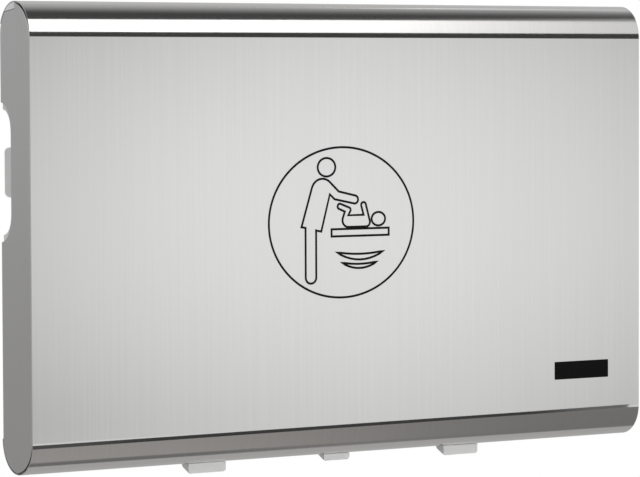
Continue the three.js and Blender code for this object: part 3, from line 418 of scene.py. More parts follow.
def cover_skin():
    bm = bmesh.new()
    section = skin_line(0) + skin_line(SKIN_SHEET)[::-1]
    ends = [[bm.verts.new((x, y, z)) for y, z in section] for x in (skin_low.x, skin_high.x)]
    count = len(section)
    half = count // 2
    for i in range(count):
        j = (i + 1) % count
        bm.faces.new((ends[0][i], ends[0][j], ends[1][j], ends[1][i]))
    for end in ends:
        for i in range(half - 1):
            bm.faces.new((end[i], end[i + 1], end[count - 2 - i], end[count - 1 - i])).material_index = 1
    shade(bm)
    skin = add_piece("cover_skin", bm, FRONT_STEEL, "bed", ["front_skin"])
    skin.data.materials.append(BRIGHT_STEEL)
    lay_grain(skin, (0, 1, 0))


CAP_EDGE = 0.0009
CAP_GAP = 0.0005
CAP_SLACK = 0.0028
SCOOP_STEPS = 20


def cap_inset(lean):
    """How far the end stays inside the cover's outline; the seam opens round the front of each roll."""
    return SKIN_SHEET + CAP_GAP + CAP_SLACK * math.sqrt(max(0.0, math.sin(2 * abs(lean))))


def relieved(points):
    """Cuts the upper rear corner off an end's outline, from the middle of the roll back."""
    slope = RELIEF_FALL / -ROLL_Y
    foot = skin_high.z - RELIEF_DROP
    front = [(y, z) for y, z in points if y < ROLL_Y]
    corner = [(ROLL_Y, front[-1][1]), (ROLL_Y, foot)]
    rear = [(y, z) for y, z in points if y > ROLL_Y and z < foot - slope * (y - ROLL_Y)]
    return front + corner + rear


def cap_outline():
    """The end's outline (y, z), inside the sheet, with the scoop in its rear edge."""
    rear = ROLL_Y + ROLL_RADIUS - cap_inset(0)
    fall = SCOOP_HALF_LENGTH - SCOOP_HALF_FLAT
    scoop_top = SCOOP_CENTRE_Z + SCOOP_HALF_FLAT
    scoop_foot = SCOOP_CENTRE_Z - SCOOP_HALF_FLAT
    lower, upper = (
        [(y + cap_inset(a) * math.cos(a), z - cap_inset(a) * math.sin(a)) for y, z, a in roll]
        for roll in (foot_roll(), top_roll(math.pi))
    )
    return (
        lower
        + relieved(upper)
        + arc(rear, scoop_top, SCOOP_DEPTH, math.pi / 2, math.pi, SCOOP_STEPS, fall)
        + arc(rear, scoop_foot, SCOOP_DEPTH, math.pi, 1.5 * math.pi, SCOOP_STEPS, fall)
    )


def end_cap(side):
    low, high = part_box(f"end_cap_{side}")
    bm = bmesh.new()
    bm.faces.new([bm.verts.new((low.x, y, z)) for y, z in cap_outline()])
    thicken(bm, (high.x - low.x, 0, 0), CAP_EDGE)
    cap = add_piece(f"end_{side}", bm, END_STEEL, "bed", [f"end_cap_{side}"])
    flat = cap.modifiers.new("flat_faces", "WEIGHTED_NORMAL")
    flat.keep_sharp = True
    lay_grain(cap, (-SIDES[side], 0, 0))


# Pictogram: a carer and a child on a bed, printed as lines in an oval ring

SIGN_CENTRE = Vector((-0.0175, 0, 0.0114))
MM_PER_METRE = 1000
SIGN_LINE = 0.0030
SIGN_FILM = 0.00012
SIGN_STEPS = 10
RING_STEPS = 120


def rounded(corners):
    """A closed outline from corners (x, z, radius) in millimetres, with their fillets as arcs."""
    points = []
    for i, (x, z, radius) in enumerate(corners):
        here = Vector((x, z))
        if not radius:
            points.append(here)
            continue
        back = (Vector(corners[i - 1][:2]) - here).normalized()
        on = (Vector(corners[(i + 1) % len(corners)][:2]) - here).normalized()
        half = back.angle(on) / 2
        centre = here + (back + on).normalized() * (radius / math.sin(half))
        start = here + back * (radius / math.tan(half)) - centre
        turn = start.angle_signed(here + on * (radius / math.tan(half)) - centre)
        for step in range(SIGN_STEPS + 1):
            points.append(centre + Matrix.Rotation(-turn * step / SIGN_STEPS, 2) @ start)
    return points


def oval(x, z, width, height, steps):
    angles = [2 * math.pi * step / steps for step in range(steps)]
    return [Vector((x + width / 2 * math.cos(a), z + height / 2 * math.sin(a))) for a in angles]


def crescent(x, z, length, upper_sag, lower_sag):
    """Two shallow arcs between the same tips, one hanging lower than the other."""
    across = [2 * step / SIGN_STEPS - 1 for step in range(SIGN_STEPS + 1)]
    upper = [Vector((x + length / 2 * t, z - upper_sag * (1 - t * t))) for t in across]
    lower = [Vector((x + length / 2 * t, z - lower_sag * (1 - t * t))) for t in across]
    return upper + lower[-2:0:-1]


SIGN_OUTLINES = {
    "ring": oval(2.3, -0.6, 225.6, 199.7, RING_STEPS),
    "carer_head": oval(-21.5, 73, 27.4, 24.5, RING_STEPS // 3),
    "carer": rounded([
        (-60.5, -5.5, 0), (-36.2, 71.5, 17), (-2.5, 40.5, 0), (28, 33.6, 5.3), (27, 23, 5.3), (-9, 30.3, 3),
        (-16.5, 37, 0), (-30, -12, 0), (-38, -10.4, 0), (-38, -80.5, 8), (-54.3, -80.5, 8), (-54.3, -6.6, 0),
    ]),
    "child_head": oval(59.5, 2.9, 21.3, 18, RING_STEPS // 3),
    "child": rounded([
        (-3, 25.2, 3.2), (17.6, 17.4, 3.5), (12, 8.5, 0), (36.2, 8.7, 0), (31.2, 25.6, 3.6), (39, 25.6, 3.6),
        (48, -7, 6), (-0.8, -7, 9), (6.8, 13.6, 0), (-5.2, 18.6, 3.2),
    ]),
    "table": rounded([(-14, -9.5, 0), (75.8, -9.5, 0), (75.8, -19, 0), (-14, -19, 0)]),
    "rocker_upper": crescent(30.6, -40, 75.7, 3.2, 10.8),
    "rocker_lower": crescent(29.5, -54, 57.2, 2.6, 8.2),
}
SHARPEST_MITRE = 0.6


def draw_line(bm, outline):
    """A closed line of even width: a low ribbon whose sides meet in mitres."""
    count = len(outline)
    rows = []
    for i, point in enumerate(outline):
        before = (point - outline[i - 1]).normalized()
        after = (outline[(i + 1) % count] - point).normalized()
        normal = Vector((-before.y - after.y, before.x + after.x)).normalized()
        reach = SIGN_LINE / 2 / max(normal.dot(Vector((-before.y, before.x))), SHARPEST_MITRE)
        row = []
        for side, height in ((-1, 0), (-1, SIGN_FILM), (1, SIGN_FILM), (1, 0)):
            x, z = point / MM_PER_METRE + normal * side * reach
            row.append(bm.verts.new((SIGN_CENTRE.x + x, FRONT_Y - height, SIGN_CENTRE.z + z)))
        rows.append(row)
    for i in range(count):
        near, far = rows[i], rows[(i + 1) % count]
        for k in range(4):
            bm.faces.new((near[k], near[(k + 1) % 4], far[(k + 1) % 4], far[k]))


def pictogram():
    bm = bmesh.new()
    for outline in SIGN_OUTLINES.values():
        draw_line(bm, outline)
    bmesh.ops.recalc_face_normals(bm, faces=bm.faces)
    add_piece("pictogram", bm, INK, "bed")


# Bed tub: the moulded basin, its flat rim and the lip over the rolled bottom edge

TUB_WALL = 0.0035
TUB_EDGE = 0.0009
RIM_Y = -0.0348
BASIN_FLOOR_Y = -0.0721
BASIN_HALF_X = 0.414
BASIN_FOOT_Z = -0.1821
BASIN_TOP_Z = 0.2255
BASIN_CORNER = 0.060
BASIN_SLOPE = 0.090
LIP_TOP_Z = -0.2121
LIP_END_Y = -0.00536
NOTCH_X = 0.4471
NOTCH_TOP_Z = -0.1523


def smoothstep(value, end):
    share = min(max(value / end, 0), 1)
    return share * share * (3 - 2 * share)


def tub_surface(x, z):
    centre = (BASIN_TOP_Z + BASIN_FOOT_Z) / 2
    dx = abs(x) - BASIN_HALF_X + BASIN_CORNER
    dz = abs(z - centre) - (BASIN_TOP_Z - BASIN_FOOT_Z) / 2 + BASIN_CORNER
    reach = math.hypot(max(dx, 0), max(dz, 0)) + min(max(dx, dz), 0)
    basin = smoothstep(BASIN_CORNER - reach, BASIN_SLOPE)
    lip = smoothstep(LIP_TOP_Z - z, LIP_TOP_Z - tub_low.z)
    return RIM_Y + (BASIN_FLOOR_Y - RIM_Y) * basin + (LIP_END_Y - RIM_Y) * lip


def bed_basin():
    slope_x = BASIN_HALF_X - BASIN_SLOPE
    xs = stations(tub_low.x, (-NOTCH_X, 2), (-BASIN_HALF_X, 3), (-slope_x, 16), (slope_x, 16),
                  (BASIN_HALF_X, 16), (NOTCH_X, 3), (tub_high.x, 2))
    zs = stations(tub_low.z, (LIP_TOP_Z, 10), (BASIN_FOOT_Z, 3), (NOTCH_TOP_Z, 6),
                  (BASIN_FOOT_Z + BASIN_SLOPE, 11), (BASIN_TOP_Z - BASIN_SLOPE, 10), (BASIN_TOP_Z, 16),
                  (tub_high.z, 5))
    bm = bmesh.new()
    grid = [[bm.verts.new((x, tub_surface(x, z), z)) for z in zs] for x in xs]
    for i in range(len(xs) - 1):
        for j in range(len(zs) - 1):
            outside = min(abs(xs[i]), abs(xs[i + 1])) >= NOTCH_X - TUB_EDGE
            if outside and zs[j + 1] <= NOTCH_TOP_Z + TUB_EDGE:
                continue
            bm.faces.new((grid[i][j], grid[i + 1][j], grid[i + 1][j + 1], grid[i][j + 1]))
    bmesh.ops.delete(bm, geom=[v for v in bm.verts if not v.link_faces], context="VERTS")
    thicken(bm, (0, -TUB_WALL, 0), TUB_EDGE)
    add_piece("tub", bm, PALE_MOULDING, "bed", ["bed_tub"])


# Safety strap: woven webbing, doubled back and stitched at the buckle

STRAP_HALF_WIDTH = 0.019
STRAP_SHEET = 0.0014
STRAP_LIFT = 0.0003
STRAP_FOLD = 0.0008
STRAP_DOUBLED = 0.044
STRAP_STEPS = 90
FOLD_STEPS = 8
SELVEDGE = 0.0005
WEB_CREASE = math.radians(70)


def strap_path(far, near):
    """The webbing's middle line (y, z), from its anchored end to the buckle, and back."""
    run = -1 if near < far else 1
    turn = near - run * (STRAP_FOLD + STRAP_SHEET / 2)
    lift = STRAP_LIFT + STRAP_SHEET / 2
    lower = []
    for step in range(STRAP_STEPS + 1):
        z = far + (turn - far) * step / STRAP_STEPS
        lower.append((tub_surface(0, z) + lift, z))
    y = tub_surface(0, turn) + lift + STRAP_FOLD
    angles = stations(0.0, (math.pi, FOLD_STEPS))[1:]
    fold = [(y - STRAP_FOLD * math.cos(a), turn + run * STRAP_FOLD * math.sin(a)) for a in angles]
    count = STRAP_STEPS // 4
    back = [turn - run * STRAP_DOUBLED * step / count for step in range(1, count + 1)]
    upper = [(tub_surface(0, z) + lift + 2 * STRAP_FOLD, z) for z in back]
    return lower + fold + upper


def ribbon(bm, path, half_width, thickness):
    """A band along path with softly rounded edges."""
    half = thickness / 2
    inner = half_width - SELVEDGE
    section = [
        (-half_width, 0), (-inner, -half), (-inner / 3, -half), (inner / 3, -half), (inner, -half),
        (half_width, 0), (inner, half), (inner / 3, half), (-inner / 3, half), (-inner, half),
    ]
    rows = []
    for i, (y, z) in enumerate(path):
        before, after = path[max(i - 1, 0)], path[min(i + 1, len(path) - 1)]
        along = Vector((after[0] - before[0], after[1] - before[1])).normalized()
        rows.append([bm.verts.new((x, y + along.y * n, z - along.x * n)) for x, n in section])
    count = len(section)
    for near, far in zip(rows, rows[1:]):
        for k in range(count):
            bm.faces.new((near[k], near[(k + 1) % count], far[(k + 1) % count], far[k]))
    bm.faces.new(rows[0])
    bm.faces.new(rows[-1][::-1])
    shade(bm, WEB_CREASE)
    return sum(math.dist(a, b) for a, b in zip(path, path[1:]))


STITCH = (0.00045, 0.0022)
STITCH_PITCH = 0.0031
STITCH_BOX = (0.0145, 0.004, 0.036)


def stitches(level, path):
    """A box of stitches with a cross in it, over the doubled end of a strap."""
    half, start, end = STITCH_BOX
    box = [(-half, start), (half, start), (half, end), (-half, end)]
    lines = [(box[i], box[(i + 1) % 4]) for i in range(4)] + [(box[0], box[2]), (box[1], box[3])]
    turn = path[STRAP_STEPS][1]
    run = 1 if path[-1][1] > turn else -1
    bm = bmesh.new()
    for (x0, s0), (x1, s1) in lines:
        length = math.dist((x0, s0), (x1, s1))
        way = Vector((x1 - x0, s1 - s0)).normalized()
        for k in range(int(length / STITCH_PITCH)):
            middle = Vector((x0, s0)) + way * STITCH_PITCH * (k + 0.5)
            z = turn + run * middle.y
            y = tub_surface(0, z) + STRAP_LIFT + STRAP_SHEET + 2 * STRAP_FOLD
            turned = Matrix.Rotation(-run * math.atan2(way.y, way.x), 4, "Y")
            size = Matrix.Diagonal((STITCH[1], STITCH[0], STITCH[0], 1))
            place = Matrix.Translation((middle.x, y, z))
            bmesh.ops.create_icosphere(bm, subdivisions=1, radius=0.5, matrix=place @ turned @ size)
    add_piece(f"stitches_{level}", bm, THREAD, "bed")


def strap(level):
    low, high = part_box(f"strap_{level}")
    far, near = (high.z, low.z) if level == "upper" else (low.z, high.z)
    path = strap_path(far, near)
    bm = bmesh.new()
    length = ribbon(bm, path, STRAP_HALF_WIDTH, STRAP_SHEET)
    band = add_piece(f"webbing_{level}", bm, WEBBING, "bed", [f"strap_{level}"])
    stitches(level, path)


# Turned pieces: screws, bolts, rivets, pins, dampers and buffers

TURN_STEPS = 60
PLAIN, STAR, HEX = "plain", "star", "hex"
STAR_DEPTH = 0.13
HEAD_WIDTH = 1.8
HEAD_HEIGHT = 1.2


def ring_radius(radius, shape, angle):
    if shape == STAR:
        return radius * (1 + STAR_DEPTH * math.cos(6 * angle))
    if shape == HEX:
        return radius / math.cos((angle % (math.pi / 3)) - math.pi / 6)
    return radius


def turned(name, rings, place, axis, finish, body, slot, replaces=()):
    """A body of rings (radius, height along the axis[, shape]). It begins and ends on the axis."""
    axis = Vector(axis)
    across = Vector((0, 0, 1))
    aside = axis.cross(across)
    bm = bmesh.new()
    rows = []
    for radius, along, *shape in rings:
        centre = Vector(place) + axis * along
        if radius == 0:
            rows.append([bm.verts.new(centre)])
            continue
        row = []
        for step in range(TURN_STEPS):
            angle = 2 * math.pi * step / TURN_STEPS
            reach = ring_radius(radius, shape[0] if shape else PLAIN, angle)
            row.append(bm.verts.new(centre + (across * math.cos(angle) + aside * math.sin(angle)) * reach))
        rows.append(row)
    for near, far in zip(rows, rows[1:]):
        for k in range(TURN_STEPS):
            corners = [near[k % len(near)], near[(k + 1) % len(near)]]
            corners += [far[(k + 1) % len(far)], far[k % len(far)]]
            bm.faces.new(list(dict.fromkeys(corners)))
    shade(bm)
    add_piece(name, bm, finish, body, replaces)


def pan_head(radius, tail):
    """A screw with a star recess and a pin in it, in shank radii: its seat at 0, its shank down to -tail."""
    return [
        (r * radius, h * radius, *shape) for r, h, *shape in (
            (0, -tail / radius), (0.8, -tail / radius), (1, 0.3 - tail / radius), (1, 0), (1.72, 0),
            (HEAD_WIDTH, 0.1), (1.78, 0.4), (1.66, 0.78), (1.42, 1.04), (1.1, 1.18), (0.98, HEAD_HEIGHT),
            (0.86, 1.18, STAR), (0.82, 1.1, STAR), (0.78, 0.42, STAR), (0.3, 0.38), (0.28, 1.0), (0.2, 1.08),
            (0, 1.08),
        )
    ]


def flange_bolt(radius, tail):
    """A hexagon head on a round flange."""
    return [
        (r * radius, h * radius, *shape) for r, h, *shape in (
            (0, -tail / radius), (0.85, -tail / radius), (1, 0.3 - tail / radius), (1, 0), (1.74, 0),
            (HEAD_WIDTH, 0.08), (1.78, 0.2), (1.5, 0.34), (1.32, 0.36, HEX), (1.32, 1.0, HEX), (1.28, 1.08),
            (1.1, HEAD_HEIGHT), (0.9, 1.14), (0, 1.12),
        )
    ]


def screw(node, head_up, make_rings, body):
    """Stands for a CAD screw whose head points along head_up."""
    low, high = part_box(node)
    radius = (high.x - low.x) / 2 / HEAD_WIDTH
    centre = (low + high) / 2
    crown = high.y if head_up > 0 else low.y
    seat = crown - head_up * HEAD_HEIGHT * radius
    tail = high.y - low.y - HEAD_HEIGHT * radius
    turned(f"{node}_detail", make_rings(radius, tail), (centre.x, seat, centre.z), (0, head_up, 0),
           BRIGHT_STEEL, body, "bright_steel", [node])


def screws():
    for side in SIDES:
        for level in LEVELS:
            screw(f"wall_screw_{side}_{level}", -1, pan_head, "wall_unit")
            screw(f"arm_bolt_{side}_{level}", -1, flange_bolt, "wall_unit")
            screw(f"tub_screw_{side}_{level}", 1, pan_head, "bed")


RIVET = [
    (0, -0.0004), (0.0032, -0.0004), (0.0032, 0), (0.0030, 0.0005), (0.0022, 0.0009), (0.0012, 0.0011),
    (0, 0.00115),
]
ANCHOR_RIVET_X = 0.0237
HOOK_SCREW = 0.002
HOOK_SCREW_TAIL = 0.003
HOOK_WALL = 0.0044
HOOK_SCREW_ZS = (0.068, 0.100)
BRACKET_INNER_X = 0.4677
BRACKET_RIVETS = ((-0.014, 0.088), (0.014, 0.088), (-0.014, 0.046), (0.014, 0.046))


def small_fixings():
    """Fixings that are too small for solids of their own."""
    for level in LEVELS:
        low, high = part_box(f"strap_anchor_{level}")
        for side, sign in SIDES.items():
            place = (sign * ANCHOR_RIVET_X, high.y, (low.z + high.z) / 2)
            turned(f"anchor_rivet_{level}_{side}", RIVET, place, (0, 1, 0), BRIGHT_STEEL, "bed",
                   "bright_steel")
    for side, sign in SIDES.items():
        low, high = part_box(f"bag_hook_{side}")
        base = (high.x if sign < 0 else low.x) + sign * HOOK_WALL
        for k, z in enumerate(HOOK_SCREW_ZS):
            turned(f"hook_screw_{side}_{k}", pan_head(HOOK_SCREW, HOOK_SCREW_TAIL),
                   (base, (low.y + high.y) / 2, z), (sign, 0, 0), BRIGHT_STEEL, "wall_unit", "bright_steel")
        for k, (dy, dz) in enumerate(BRACKET_RIVETS):
            place = (sign * BRACKET_INNER_X, ROLL_Y + dy, FOOT_ROLL_Z + dz)
            turned(f"bracket_rivet_{side}_{k}", RIVET, place, (-sign, 0, 0), BRIGHT_STEEL, "bed",
                   "bright_steel")


PIN_RADIUS = 0.006
PIN_BREAK = 0.0009
COLLAR_RADIUS = 0.009
COLLAR_OUTER = 0.0046
COLLAR_INNER_X = 0.4602
COLLAR_BREAK = 0.0002


def pin_rings(length, collar_end):
    """A hinge pin with broken edges and a collar near its outer end, which is at 0."""
    rim = COLLAR_RADIUS - COLLAR_BREAK
    return [
        (0, 0), (PIN_RADIUS - PIN_BREAK, 0), (PIN_RADIUS, PIN_BREAK), (PIN_RADIUS, COLLAR_OUTER),
        (rim, COLLAR_OUTER), (COLLAR_RADIUS, COLLAR_OUTER + COLLAR_BREAK),
        (COLLAR_RADIUS, collar_end - COLLAR_BREAK), (rim, collar_end), (PIN_RADIUS, collar_end),
        (PIN_RADIUS, length - PIN_BREAK), (PIN_RADIUS - PIN_BREAK, length), (0, length),
    ]


DAMPER_BORE = 0.0063
DAMPER_WALL = 0.0044
DAMPER_BARREL = 0.015
DAMPER_FILLET = 0.0012
DAMPER_FLANGE = 0.004
DAMPER_BREAK = 0.0005
DAMPER_DISH = (0.009, 0.0082, 0.001)
GROOVE_COUNT = 4
GROOVE_START = 0.0062
GROOVE_PITCH = 0.0038
GROOVE_DEPTH = 0.0007
GROOVE_WIDTH = 0.0016
GROOVE_EASE = 0.0004


def damper_rings(length, flange):
    """A rotary damper: a bored flange, a grooved barrel and a dished end."""
    bottom = length - DAMPER_WALL
    root = DAMPER_BARREL - GROOVE_DEPTH
    dish_rim, dish_floor, dish_depth = DAMPER_DISH
    rings = [
        (0, bottom), (DAMPER_BORE, bottom), (DAMPER_BORE, 0), (flange - DAMPER_BREAK, 0),
        (flange, DAMPER_BREAK), (flange, DAMPER_FLANGE - DAMPER_BREAK),
        (flange - DAMPER_BREAK, DAMPER_FLANGE), (DAMPER_BARREL + DAMPER_FILLET, DAMPER_FLANGE),
        (DAMPER_BARREL, DAMPER_FLANGE + DAMPER_FILLET),
    ]
    for k in range(GROOVE_COUNT):
        start = GROOVE_START + GROOVE_PITCH * k
        end = start + GROOVE_WIDTH
        rings += [
            (DAMPER_BARREL, start), (root, start + GROOVE_EASE), (root, end - GROOVE_EASE),
            (DAMPER_BARREL, end),
        ]
    return rings + [
        (DAMPER_BARREL, length - DAMPER_FILLET), (DAMPER_BARREL - DAMPER_FILLET, length), (dish_rim, length),
        (dish_floor, length - dish_depth), (0, length - dish_depth),
    ]


def hinge_pieces():
    for side, sign in SIDES.items():
        low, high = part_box(f"damper_{side}")
        outer = high.x if sign > 0 else low.x
        rings = damper_rings(high.x - low.x, (high.z - low.z) / 2)
        turned(f"damper_body_{side}", rings, (outer, ROLL_Y, FOOT_ROLL_Z), (-sign, 0, 0), DARK_MOULDING,
               "wall_unit", "dark_moulding", [f"damper_{side}"])
        low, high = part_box(f"hinge_pin_{side}")
        outer = high.x if sign > 0 else low.x
        rings = pin_rings(high.x - low.x, abs(outer) - COLLAR_INNER_X)
        turned(f"pin_{side}", rings, (outer, ROLL_Y, FOOT_ROLL_Z), (-sign, 0, 0), BRIGHT_STEEL, "bed",
               "bright_steel", [f"hinge_pin_{side}"])


BUFFER_DOME = ((1, 0), (1, 0.4), (0.94, 0.68), (0.72, 0.9), (0.4, 1), (0, 1))


def buffers():
    for side in SIDES:
        for level in LEVELS:
            node = f"buffer_{side}_{level}"
            low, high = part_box(node)
            radius = (high.x - low.x) / 2
            rings = [(0, 0)] + [(r * radius, h * (high.y - low.y)) for r, h in BUFFER_DOME]
            turned(f"{node}_dome", rings, ((low.x + high.x) / 2, high.y, (low.z + high.z) / 2), (0, -1, 0),
                   RUBBER, "wall_unit", "rubber", [node])


# Magnet poles and the grip bars on the buckle's button

BAR_ROUND_STEPS = 2


def bar(name, low, high, edge, finish, body):
    bm = bmesh.new()
    size = Vector(high) - Vector(low)
    middle = (Vector(high) + Vector(low)) / 2
    bmesh.ops.create_cube(bm, size=1, matrix=Matrix.Translation(middle) @ Matrix.Diagonal((*size, 1)))
    bmesh.ops.bevel(bm, geom=bm.edges[:], offset=edge, segments=BAR_ROUND_STEPS, profile=0.5, affect="EDGES")
    shade(bm)
    add_piece(name, bm, finish, body)


POLE_PROUD = 0.0002
POLE_SINK = 0.001
POLE_WIDTH = 0.0022
POLE_INSET = 0.003
POLE_EDGE = 0.0001
POLE_ZS = (-0.0032, 0.0032)
GRIP_PROUD = 0.0005
GRIP_SINK = 0.0005
GRIP_WIDTH = 0.0014
GRIP_INSET = 0.004
GRIP_EDGE = 0.00045
GRIP_ZS = (-0.004, 0, 0.004)


def small_bars():
    for side in SIDES:
        low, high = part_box(f"magnet_{side}")
        for k, shift in enumerate(POLE_ZS):
            z = (low.z + high.z) / 2 + shift
            bar(f"magnet_pole_{side}_{k}", (low.x + POLE_INSET, low.y - POLE_PROUD, z - POLE_WIDTH / 2),
                (high.x - POLE_INSET, low.y + POLE_SINK, z + POLE_WIDTH / 2), POLE_EDGE, BRIGHT_STEEL,
                "wall_unit")
    low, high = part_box("buckle_button")
    for k, shift in enumerate(GRIP_ZS):
        z = (low.z + high.z) / 2 + shift
        bar(f"button_grip_{k}", (low.x + GRIP_INSET, high.y - GRIP_SINK, z - GRIP_WIDTH / 2),
            (high.x - GRIP_INSET, high.y + GRIP_PROUD, z + GRIP_WIDTH / 2), GRIP_EDGE, RED_MOULDING,
            "buckle_button")


# CAD solids that stay, with their edges rounded

EDGES = {
    "chassis_plate": (GALVANISED_STEEL, 0.0003),
    "rear_tray": (PALE_MOULDING, 0.0012),
    "magnet": (DARK_MOULDING, 0.0006),
    "hinge_arm": (GALVANISED_STEEL, 0.0004),
    "arm_bush": (DARK_MOULDING, 0.0002),
    "support_block": (GREY_MOULDING, 0.0004),
    "bag_hook": (GREY_MOULDING, 0.0009),
    "liner_rail": (PALE_MOULDING, 0.0005),
    "liner_cover": (GREY_MOULDING, 0.0008),
    "side_trim": (TRIM_MOULDING, 0.0004),
    "badge_plate": (BLACK_PLATE, 0.0002),
    "stiffener": (GALVANISED_STEEL, 0.0003),
    "tub_ledge": (GALVANISED_STEEL, 0.0004),
    "strike": (BRIGHT_STEEL, 0.0002),
    "hinge_bracket": (GALVANISED_STEEL, 0.0004),
    "strap_anchor": (DARK_MOULDING, 0.0007),
    "buckle_socket": (DARK_MOULDING, 0.0011),
    "buckle_plug": (DARK_MOULDING, 0.0009),
    "buckle_button": (RED_MOULDING, 0.0007),
}
WELD_REACH = 0.00001
FLAT_ANGLE = math.radians(0.5)
ROUND_ANGLE = math.radians(40)


def round_edges(node, finish, width):
    solid = NODES[node]
    solid.data.materials.clear()
    solid.data.materials.append(finish)
    for face in solid.data.polygons:
        face.use_smooth = True
        face.material_index = 0
    weld = solid.modifiers.new("weld", "WELD")
    weld.merge_threshold = WELD_REACH
    flats = solid.modifiers.new("flats", "DECIMATE")
    flats.decimate_type = "DISSOLVE"
    flats.angle_limit = FLAT_ANGLE
    rounds = solid.modifiers.new("rounds", "BEVEL")
    rounds.width = width
    rounds.segments = ROUND_STEPS
    rounds.limit_method = "ANGLE"
    rounds.angle_limit = ROUND_ANGLE
    solid.modifiers.new("normals", "WEIGHTED_NORMAL")


# Stage

FLOOR_Z = -1.2
FLOOR_RADIUS = 3.5
FLOOR_STEPS = 96


def studio_floor():
    bm = bmesh.new()
    bmesh.ops.create_circle(bm, cap_ends=True, segments=FLOOR_STEPS, radius=FLOOR_RADIUS)
    bmesh.ops.translate(bm, verts=bm.verts, vec=(0, 0, FLOOR_Z))
    floor = to_object("floor", bm, pale_floor())
    floor.visible_glossy = False


CARD_WARMTH = 0.012


def glow(name, radiance, make_share=None, end_radiance=None, tint=0.0):
    """A light of one radiance, or of two with make_share giving the second one's share at (x, y, z)."""
    light = material(name)
    tone = grey(radiance, CARD_WARMTH + tint)
    if make_share:
        share = make_share(*light.axes())
        tone = light.mix(share.clamped(), tone, grey(end_radiance, tint))
    return light.surface(
        Base_Color=grey(0.0),
        Specular_IOR_Level=0.0,
        Emission_Color=tone,
        Emission_Strength=1.0,
    )


def reflected_only(card):
    """Hides a card from everything but reflections."""
    card.visible_camera = False
    card.visible_diffuse = False
    card.visible_transmission = False
    card.visible_shadow = False


CARD_DISTANCE = 12.0
NEAR_CARD_DISTANCE = 0.99 * CARD_DISTANCE
CARD_STEP = math.radians(6)


def studio_card(name, azimuth, elevation, *light, tint=0.0, distance=CARD_DISTANCE):
    """A curved card round the set that only reflections see. Azimuth 0 is in front, 90 to the right."""
    spans = [[math.radians(a) for a in pair] for pair in (azimuth, elevation)]
    counts = [max(1, round((high - low) / CARD_STEP)) for low, high in spans]
    sides, heights = [stations(low, (high, n)) for (low, high), n in zip(spans, counts)]
    bm = bmesh.new()
    grid = []
    for a in sides:
        ways = [(math.sin(a) * math.cos(e), -math.cos(a) * math.cos(e), math.sin(e)) for e in heights]
        grid.append([bm.verts.new(Vector(way) * distance) for way in ways])
    for near, far in zip(grid, grid[1:]):
        for j in range(counts[1]):
            bm.faces.new((near[j], far[j], far[j + 1], near[j + 1]))
    reflected_only(to_object(name, bm, glow(name, *light, tint=tint)))


STRIP_REACH = 0.025
STRIP_DROPS = (0.0139, 0.0044)
STRIP_TILTS = (0.0046, 0.003)


def foot_strip(*light):
    """A slim strip held close to the lower bend, which shows in the steel as a line.

    Its drops and tilts are those of its lower edge and its upper edge.
    """
    y = FRONT_Y - STRIP_REACH
    low, high = (FOOT_ROLL_Z - drop for drop in STRIP_DROPS)
    left, right = skin_low.x, skin_high.x
    low_tilt, high_tilt = STRIP_TILTS
    corners = ((left, low - low_tilt), (right, low + low_tilt),
               (right, high + high_tilt), (left, high - high_tilt))
    bm = bmesh.new()
    bm.faces.new([bm.verts.new((x, y, z)) for x, z in corners])
    reflected_only(to_object("foot_strip", bm, glow("foot_strip", *light)))


PANEL_CENTRE = (6.2, -0.42)
PANEL_REACH = (2.4, 1.95)


def panel_glow(x, y, z):
    """Brightest at the panel's middle, and falling off all round it."""
    across = (x - PANEL_CENTRE[0]) / PANEL_REACH[0]
    upward = (z - PANEL_CENTRE[1]) / PANEL_REACH[1]
    return 1.0 - across * across - upward * upward


STRIP_RIGHT_FADE = (0.30, 0.42)
STRIP_LEFT_FADE = (-0.42, -0.26)
STRIP_LEFT_SHARE = 0.35


def strip_glow(x, y, z):
    """Brighter at the right end, and a little at the left one."""
    return x.ramp(*STRIP_RIGHT_FADE) + STRIP_LEFT_SHARE * (1.0 - x.ramp(*STRIP_LEFT_FADE))


LEFT_FADE = (-2.1, 2.9)
LEFT_RISE = (-6.5, 0.5)


def left_glow(x, y, z):
    """Brighter towards the left and towards the height of the part."""
    return (1.0 - x.ramp(*LEFT_FADE)) * z.ramp(*LEFT_RISE)


def fade(axis, low, high):
    """A share that grows along one axis, from 0 at low to 1 at high."""
    return lambda *place: place["xyz".index(axis)].ramp(low, high)


def studio_world(fill):
    """White to the camera and in reflections, and a soft even fill on everything else."""
    world = bpy.data.worlds.new("studio")
    bpy.context.scene.world = world
    sky = Finish(world, "Background")
    camera = sky.node("ShaderNodeLightPath", {}, {}, output="Is Camera Ray")
    seen = (camera + camera.other("Is Glossy Ray") + camera.other("Is Transmission Ray")).clamped()
    sky.surface(Color=sky.mix(seen, grey(fill), grey(1.0)), Strength=1.0)


def soft_lamp(name, place, aim, size, watts):
    lamp = bpy.data.lights.new(name, "AREA")
    lamp.size = size
    lamp.energy = watts
    made = bpy.data.objects.new(name, lamp)
    made.location = place
    made.rotation_mode = "QUATERNION"
    made.rotation_quaternion = (Vector(aim) - Vector(place)).to_track_quat("-Z", "Y")
    made.visible_glossy = False
    bpy.context.scene.collection.objects.link(made)


# Camera at the photograph's viewing angle

CAMERA_PLACE = (-2.3716, -3.8990, 0.1971)
CAMERA_YAW = 0.547403
CAMERA_PITCH = 0.046327
CAMERA_ROLL = -0.003947
CAMERA_LENS = 189.8
CAMERA_SENSOR = 36


